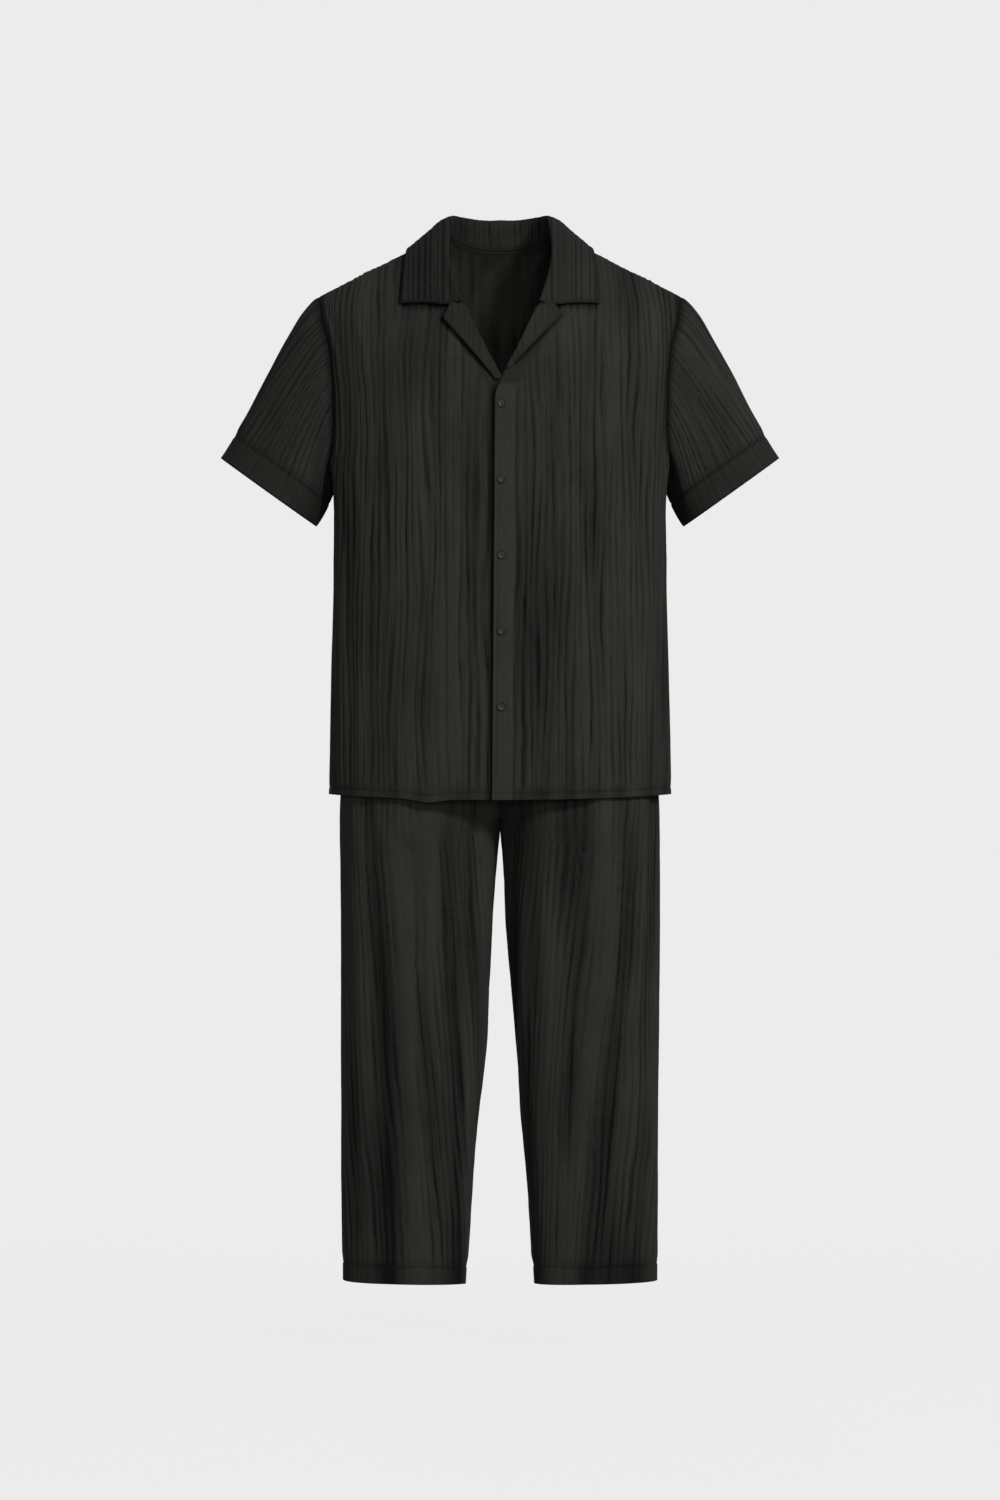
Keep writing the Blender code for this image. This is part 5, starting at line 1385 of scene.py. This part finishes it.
class GarmentSewing(bpy.types.PropertyGroup):
    """Hems, placket and stitches."""

    shirt_hem: FloatProperty(name="Shirt hem", description="Height of the shirt's hem",
                             unit="LENGTH", min=0.004, max=0.05, default=0.0090)
    sleeve_hem: FloatProperty(name="Sleeve hem", description="Depth of the sleeve hem",
                              unit="LENGTH", min=0.01, max=0.06, default=0.0350)
    leg_hem: FloatProperty(name="Trouser hem", description="Height of the trouser hem",
                           unit="LENGTH", min=0.01, max=0.06, default=0.0230)
    placket: FloatProperty(name="Placket", description="Width of the smooth band along the front edge",
                           unit="LENGTH", min=0.01, max=0.05, default=0.0250)
    edge_stitch: FloatProperty(name="Front edge stitch",
                               description="Distance of the stitching from the front edge",
                               unit="LENGTH", min=0.001, max=0.02, default=0.0055)
    collar_stitch: FloatProperty(name="Collar stitch",
                                 description="Distance of the stitching from the collar's edge",
                                 unit="LENGTH", min=0.001, max=0.02, default=0.0050)
    stitch_pitch: FloatProperty(name="Stitch length", description="Length of one stitch with its gap",
                                unit="LENGTH", min=0.001, max=0.008, default=0.0030)
    thread: FloatProperty(name="Thread", description="Thickness of the sewing thread",
                          unit="LENGTH", min=0.0001, max=0.001, default=0.00045)


class GarmentButtons(bpy.types.PropertyGroup):
    """Size and colour of the buttons."""

    diameter: FloatProperty(name="Diameter", description="Diameter of a button",
                            unit="LENGTH", min=0.006, max=0.03, default=0.0128)
    height: FloatProperty(name="Height", description="Thickness of a button at its rim",
                          unit="LENGTH", min=0.001, max=0.006, default=0.0024)
    hole: FloatProperty(name="Hole", description="Diameter of a thread hole",
                        unit="LENGTH", min=0.0005, max=0.003, default=0.0014)
    hole_spread: FloatProperty(name="Hole spread", description="Distance between two holes",
                               unit="LENGTH", min=0.001, max=0.006, default=0.0027)
    resin: FloatVectorProperty(name="Resin colour", description="Colour of the moulded resin",
                               subtype="COLOR", size=3, min=0.0, max=1.0, default=(0.011, 0.0105, 0.0095))


class GarmentStudio(bpy.types.PropertyGroup):
    """Light, backdrop and camera."""

    backdrop: FloatProperty(name="Backdrop", description="Brightness of the pale surroundings",
                            min=0.0, max=2.0, default=0.839)
    ambient: FloatProperty(name="Air", description="Strength of the light that comes from all round",
                           min=0.0, max=2.0, default=0.22)
    key: FloatProperty(name="Key light", description="Power of the soft light at the upper right",
                       unit="POWER", min=0.0, max=5000.0, default=250.0)
    fill: FloatProperty(name="Fill light", description="Power of the soft light beside the camera",
                        unit="POWER", min=0.0, max=5000.0, default=95.0)
    behind: FloatProperty(name="Back light", description="Power of the soft light behind the set",
                          unit="POWER", min=0.0, max=5000.0, default=240.0)
    distance: FloatProperty(name="Camera distance", description="Distance of the camera from the set",
                            unit="LENGTH", min=2.0, max=30.0, default=8.0)
    span: FloatProperty(name="Frame height", description="Height of what the frame shows at the set",
                        unit="LENGTH", min=0.5, max=5.0, default=2.01)
    floor: FloatProperty(name="Floor height", description="Height of the floor under the wearer",
                         unit="LENGTH", min=-3.0, max=0.0, default=-1.500)


# Studio
LIGHTS = (                                # name, setting, place, aim and diameter
    ("key light", "key", (2.6, -4.2, 2.2), (0.0, 0.0, -0.55), 1.0),
    ("fill light", "fill", (0.5, -6.2, 0.35), (0.0, 0.0, -0.5), 1.4),
    ("back light", "behind", (-0.8, 5.6, 0.6), (0.0, 0.0, -0.5), 1.4))
CAMERA_HEIGHT, CAMERA_FAR = -0.694, 60.0
FLOOR_HALF, FLOOR_FADE = 3.2, (1.55, 2.95)
FLOOR_GLOW, FLOOR_DIMMER = 0.25, 0.032    # light it gives off, and how far it is under the backdrop
WHITE = (1.0, 1.0, 1.0, 1.0)


def seen_glow(tree, unseen, seen, target):
    """One strength for what the camera sees and another for the light given off."""
    path = add(tree, "ShaderNodeLightPath")
    strength = mapped(tree, path.outputs["Is Camera Ray"], **{"To Min": unseen, "To Max": seen})
    tree.links.new(strength, target)


def floor_material(settings):
    """Pale ground that thins out to nothing, so that no edge shows."""
    material, shader = shader_of("pale floor")
    if not shader:
        return material
    tree, link = material.node_tree, material.node_tree.links.new
    put(shader, **{"Base Color": (0.03, 0.03, 0.03, 1.0), "Emission Color": WHITE,
                   "Roughness": 0.9, "Specular IOR Level": 0.0})
    seen_glow(tree, FLOOR_GLOW, settings.backdrop - FLOOR_DIMMER, shader.inputs["Emission Strength"])
    place = add(tree, "ShaderNodeTexCoord")
    radius = add(tree, "ShaderNodeVectorMath", operation="LENGTH")
    link(place.outputs["Object"], radius.inputs[0])
    fade = mapped(tree, radius.outputs["Value"], interpolation_type="SMOOTHSTEP",
                  **{"From Min": FLOOR_FADE[0], "From Max": FLOOR_FADE[1], "To Min": 1.0, "To Max": 0.0})
    link(fade, shader.inputs["Alpha"])
    return material


def build_floor(settings):
    """Pale floor that fades into the surroundings."""
    corners = [(x * FLOOR_HALF, y * FLOOR_HALF, settings.floor)
               for x, y in ((-1, -1), (1, -1), (1, 1), (-1, 1))]
    floor = mesh_object("floor", corners, [(0, 1, 2, 3)], floor_material(settings))


def soft_light(name, place, target, size, watts):
    """Round soft light aimed at a point."""
    data = bpy.data.lights.new(name, "AREA")
    data.shape, data.size, data.energy = "DISK", size, watts
    light = bpy.data.objects.new(name, data)
    light.location = place
    aim = np.array(target) - np.array(place)
    flat = math.hypot(aim[0], aim[1])
    light.rotation_euler = (math.atan2(flat, -aim[2]), 0.0, math.atan2(aim[1], aim[0]) - math.pi / 2)
    bpy.context.scene.collection.objects.link(light)


# Operators
class GARMENT_OT_shirt_body(bpy.types.Operator):
    """Sew the back and both fronts of the shirt, with placket and hem"""

    bl_idname = "garment.shirt_body"
    bl_label = "Shirt body"

    def execute(self, context):
        cloth, sewing = context.scene.garment_cloth, context.scene.garment_sewing
        lines = {"shirt_back": build_back(sewing, cloth),
                 "shirt_front_left": build_front(1, sewing, cloth),
                 "shirt_front_right": build_front(-1, sewing, cloth)}
        for slot, found in lines.items():
            stitches(slot, found, sewing)
        return {"FINISHED"}


class GARMENT_OT_sleeves(bpy.types.Operator):
    """Set in both short sleeves and stitch their hems"""

    bl_idname = "garment.sleeves"
    bl_label = "Sleeves"

    def execute(self, context):
        cloth, sewing = context.scene.garment_cloth, context.scene.garment_sewing
        for side, cut in FRONTS.items():
            lines = build_sleeve(side, sewing, cloth)
            stitches("shirt_sleeve_" + cut["label"], lines, sewing, closed=True)
        return {"FINISHED"}


class GARMENT_OT_collar(bpy.types.Operator):
    """Turn over the collar and both lapels and stitch along their edges"""

    bl_idname = "garment.collar"
    bl_label = "Collar and lapels"

    def execute(self, context):
        cloth, sewing = context.scene.garment_cloth, context.scene.garment_sewing
        stitches("shirt_collar", build_collar(sewing, cloth), sewing)
        for side, cut in FRONTS.items():
            stitches("shirt_lapel_" + cut["label"], build_lapel(side, sewing, cloth), sewing)
        return {"FINISHED"}


class GARMENT_OT_buttons(bpy.types.Operator):
    """Turn the buttons, sew them on and work their buttonholes"""

    bl_idname = "garment.buttons"
    bl_label = "Buttons"

    def execute(self, context):
        build_buttons(context.scene.garment_buttons)
        return {"FINISHED"}


class GARMENT_OT_trousers(bpy.types.Operator):
    """Sew the four trouser panels, their hems and the elastic waistband"""

    bl_idname = "garment.trousers"
    bl_label = "Trousers"

    def execute(self, context):
        cloth, sewing = context.scene.garment_cloth, context.scene.garment_sewing
        for side, cut in FRONTS.items():
            for face in LEGS:
                lines = build_leg(face, side, sewing, cloth)
                stitches(f"trousers_{face}_{cut['label']}", lines, sewing)
        build_waistband()
        return {"FINISHED"}


class GARMENT_OT_studio(bpy.types.Operator):
    """Set up the pale floor, the soft lights and the camera"""

    bl_idname = "garment.studio"
    bl_label = "Studio"

    def execute(self, context):
        settings = context.scene.garment_studio
        context.scene.view_settings.view_transform = "Standard"
        world = bpy.data.worlds.new("studio air")
        context.scene.world = world
        world.use_nodes = True
        tree = world.node_tree
        sky = put(tree.nodes["Background"], Color=WHITE)
        seen_glow(tree, settings.ambient, settings.backdrop, sky.inputs["Strength"])
        build_floor(settings)
        for name, key, place, target, size in LIGHTS:
            soft_light(name, place, target, size, getattr(settings, key))
        camera = bpy.data.cameras.new("camera")
        camera.lens = camera.sensor_width * settings.distance / settings.span
        camera.clip_end = CAMERA_FAR
        place = bpy.data.objects.new("camera", camera)
        place.location = (0.0, -settings.distance, CAMERA_HEIGHT)
        place.rotation_euler = (math.pi / 2, 0.0, 0.0)
        context.scene.collection.objects.link(place)
        context.scene.camera = place
        return {"FINISHED"}


class GARMENT_PT_panel(bpy.types.Panel):
    """Lists the settings and the steps of the set"""

    bl_idname = "GARMENT_PT_panel"
    bl_label = "Shirt and trousers"
    bl_space_type = "VIEW_3D"
    bl_region_type = "UI"
    bl_category = "Garment"

    def draw(self, context):
        layout = self.layout
        for group in ("garment_cloth", "garment_sewing", "garment_buttons", "garment_studio"):
            box = layout.box()
            settings = getattr(context.scene, group)
            for key in settings.__annotations__:
                box.prop(settings, key)
        for operator in OPERATORS:
            layout.operator(operator.bl_idname)


GROUPS = {"garment_cloth": GarmentCloth, "garment_sewing": GarmentSewing,
          "garment_buttons": GarmentButtons, "garment_studio": GarmentStudio}
OPERATORS = (GARMENT_OT_shirt_body, GARMENT_OT_sleeves, GARMENT_OT_collar, GARMENT_OT_buttons,
             GARMENT_OT_trousers, GARMENT_OT_studio)


def register():
    """Add the settings, operators and panel."""
    for group in GROUPS.values():
        bpy.utils.register_class(group)
    for name, group in GROUPS.items():
        setattr(bpy.types.Scene, name, PointerProperty(type=group))
    for operator in OPERATORS:
        bpy.utils.register_class(operator)
    bpy.utils.register_class(GARMENT_PT_panel)


def unregister():
    """Take them away again."""
    bpy.utils.unregister_class(GARMENT_PT_panel)
    for operator in reversed(OPERATORS):
        bpy.utils.unregister_class(operator)
    for name in GROUPS:
        delattr(bpy.types.Scene, name)
    for group in reversed(list(GROUPS.values())):
        bpy.utils.unregister_class(group)


def main():
    """Build the whole set."""
    register()
    bpy.ops.garment.shirt_body()
    bpy.ops.garment.sleeves()
    bpy.ops.garment.collar()
    bpy.ops.garment.buttons()
    bpy.ops.garment.trousers()
    bpy.ops.garment.studio()


if __name__ == "__main__":
    main()
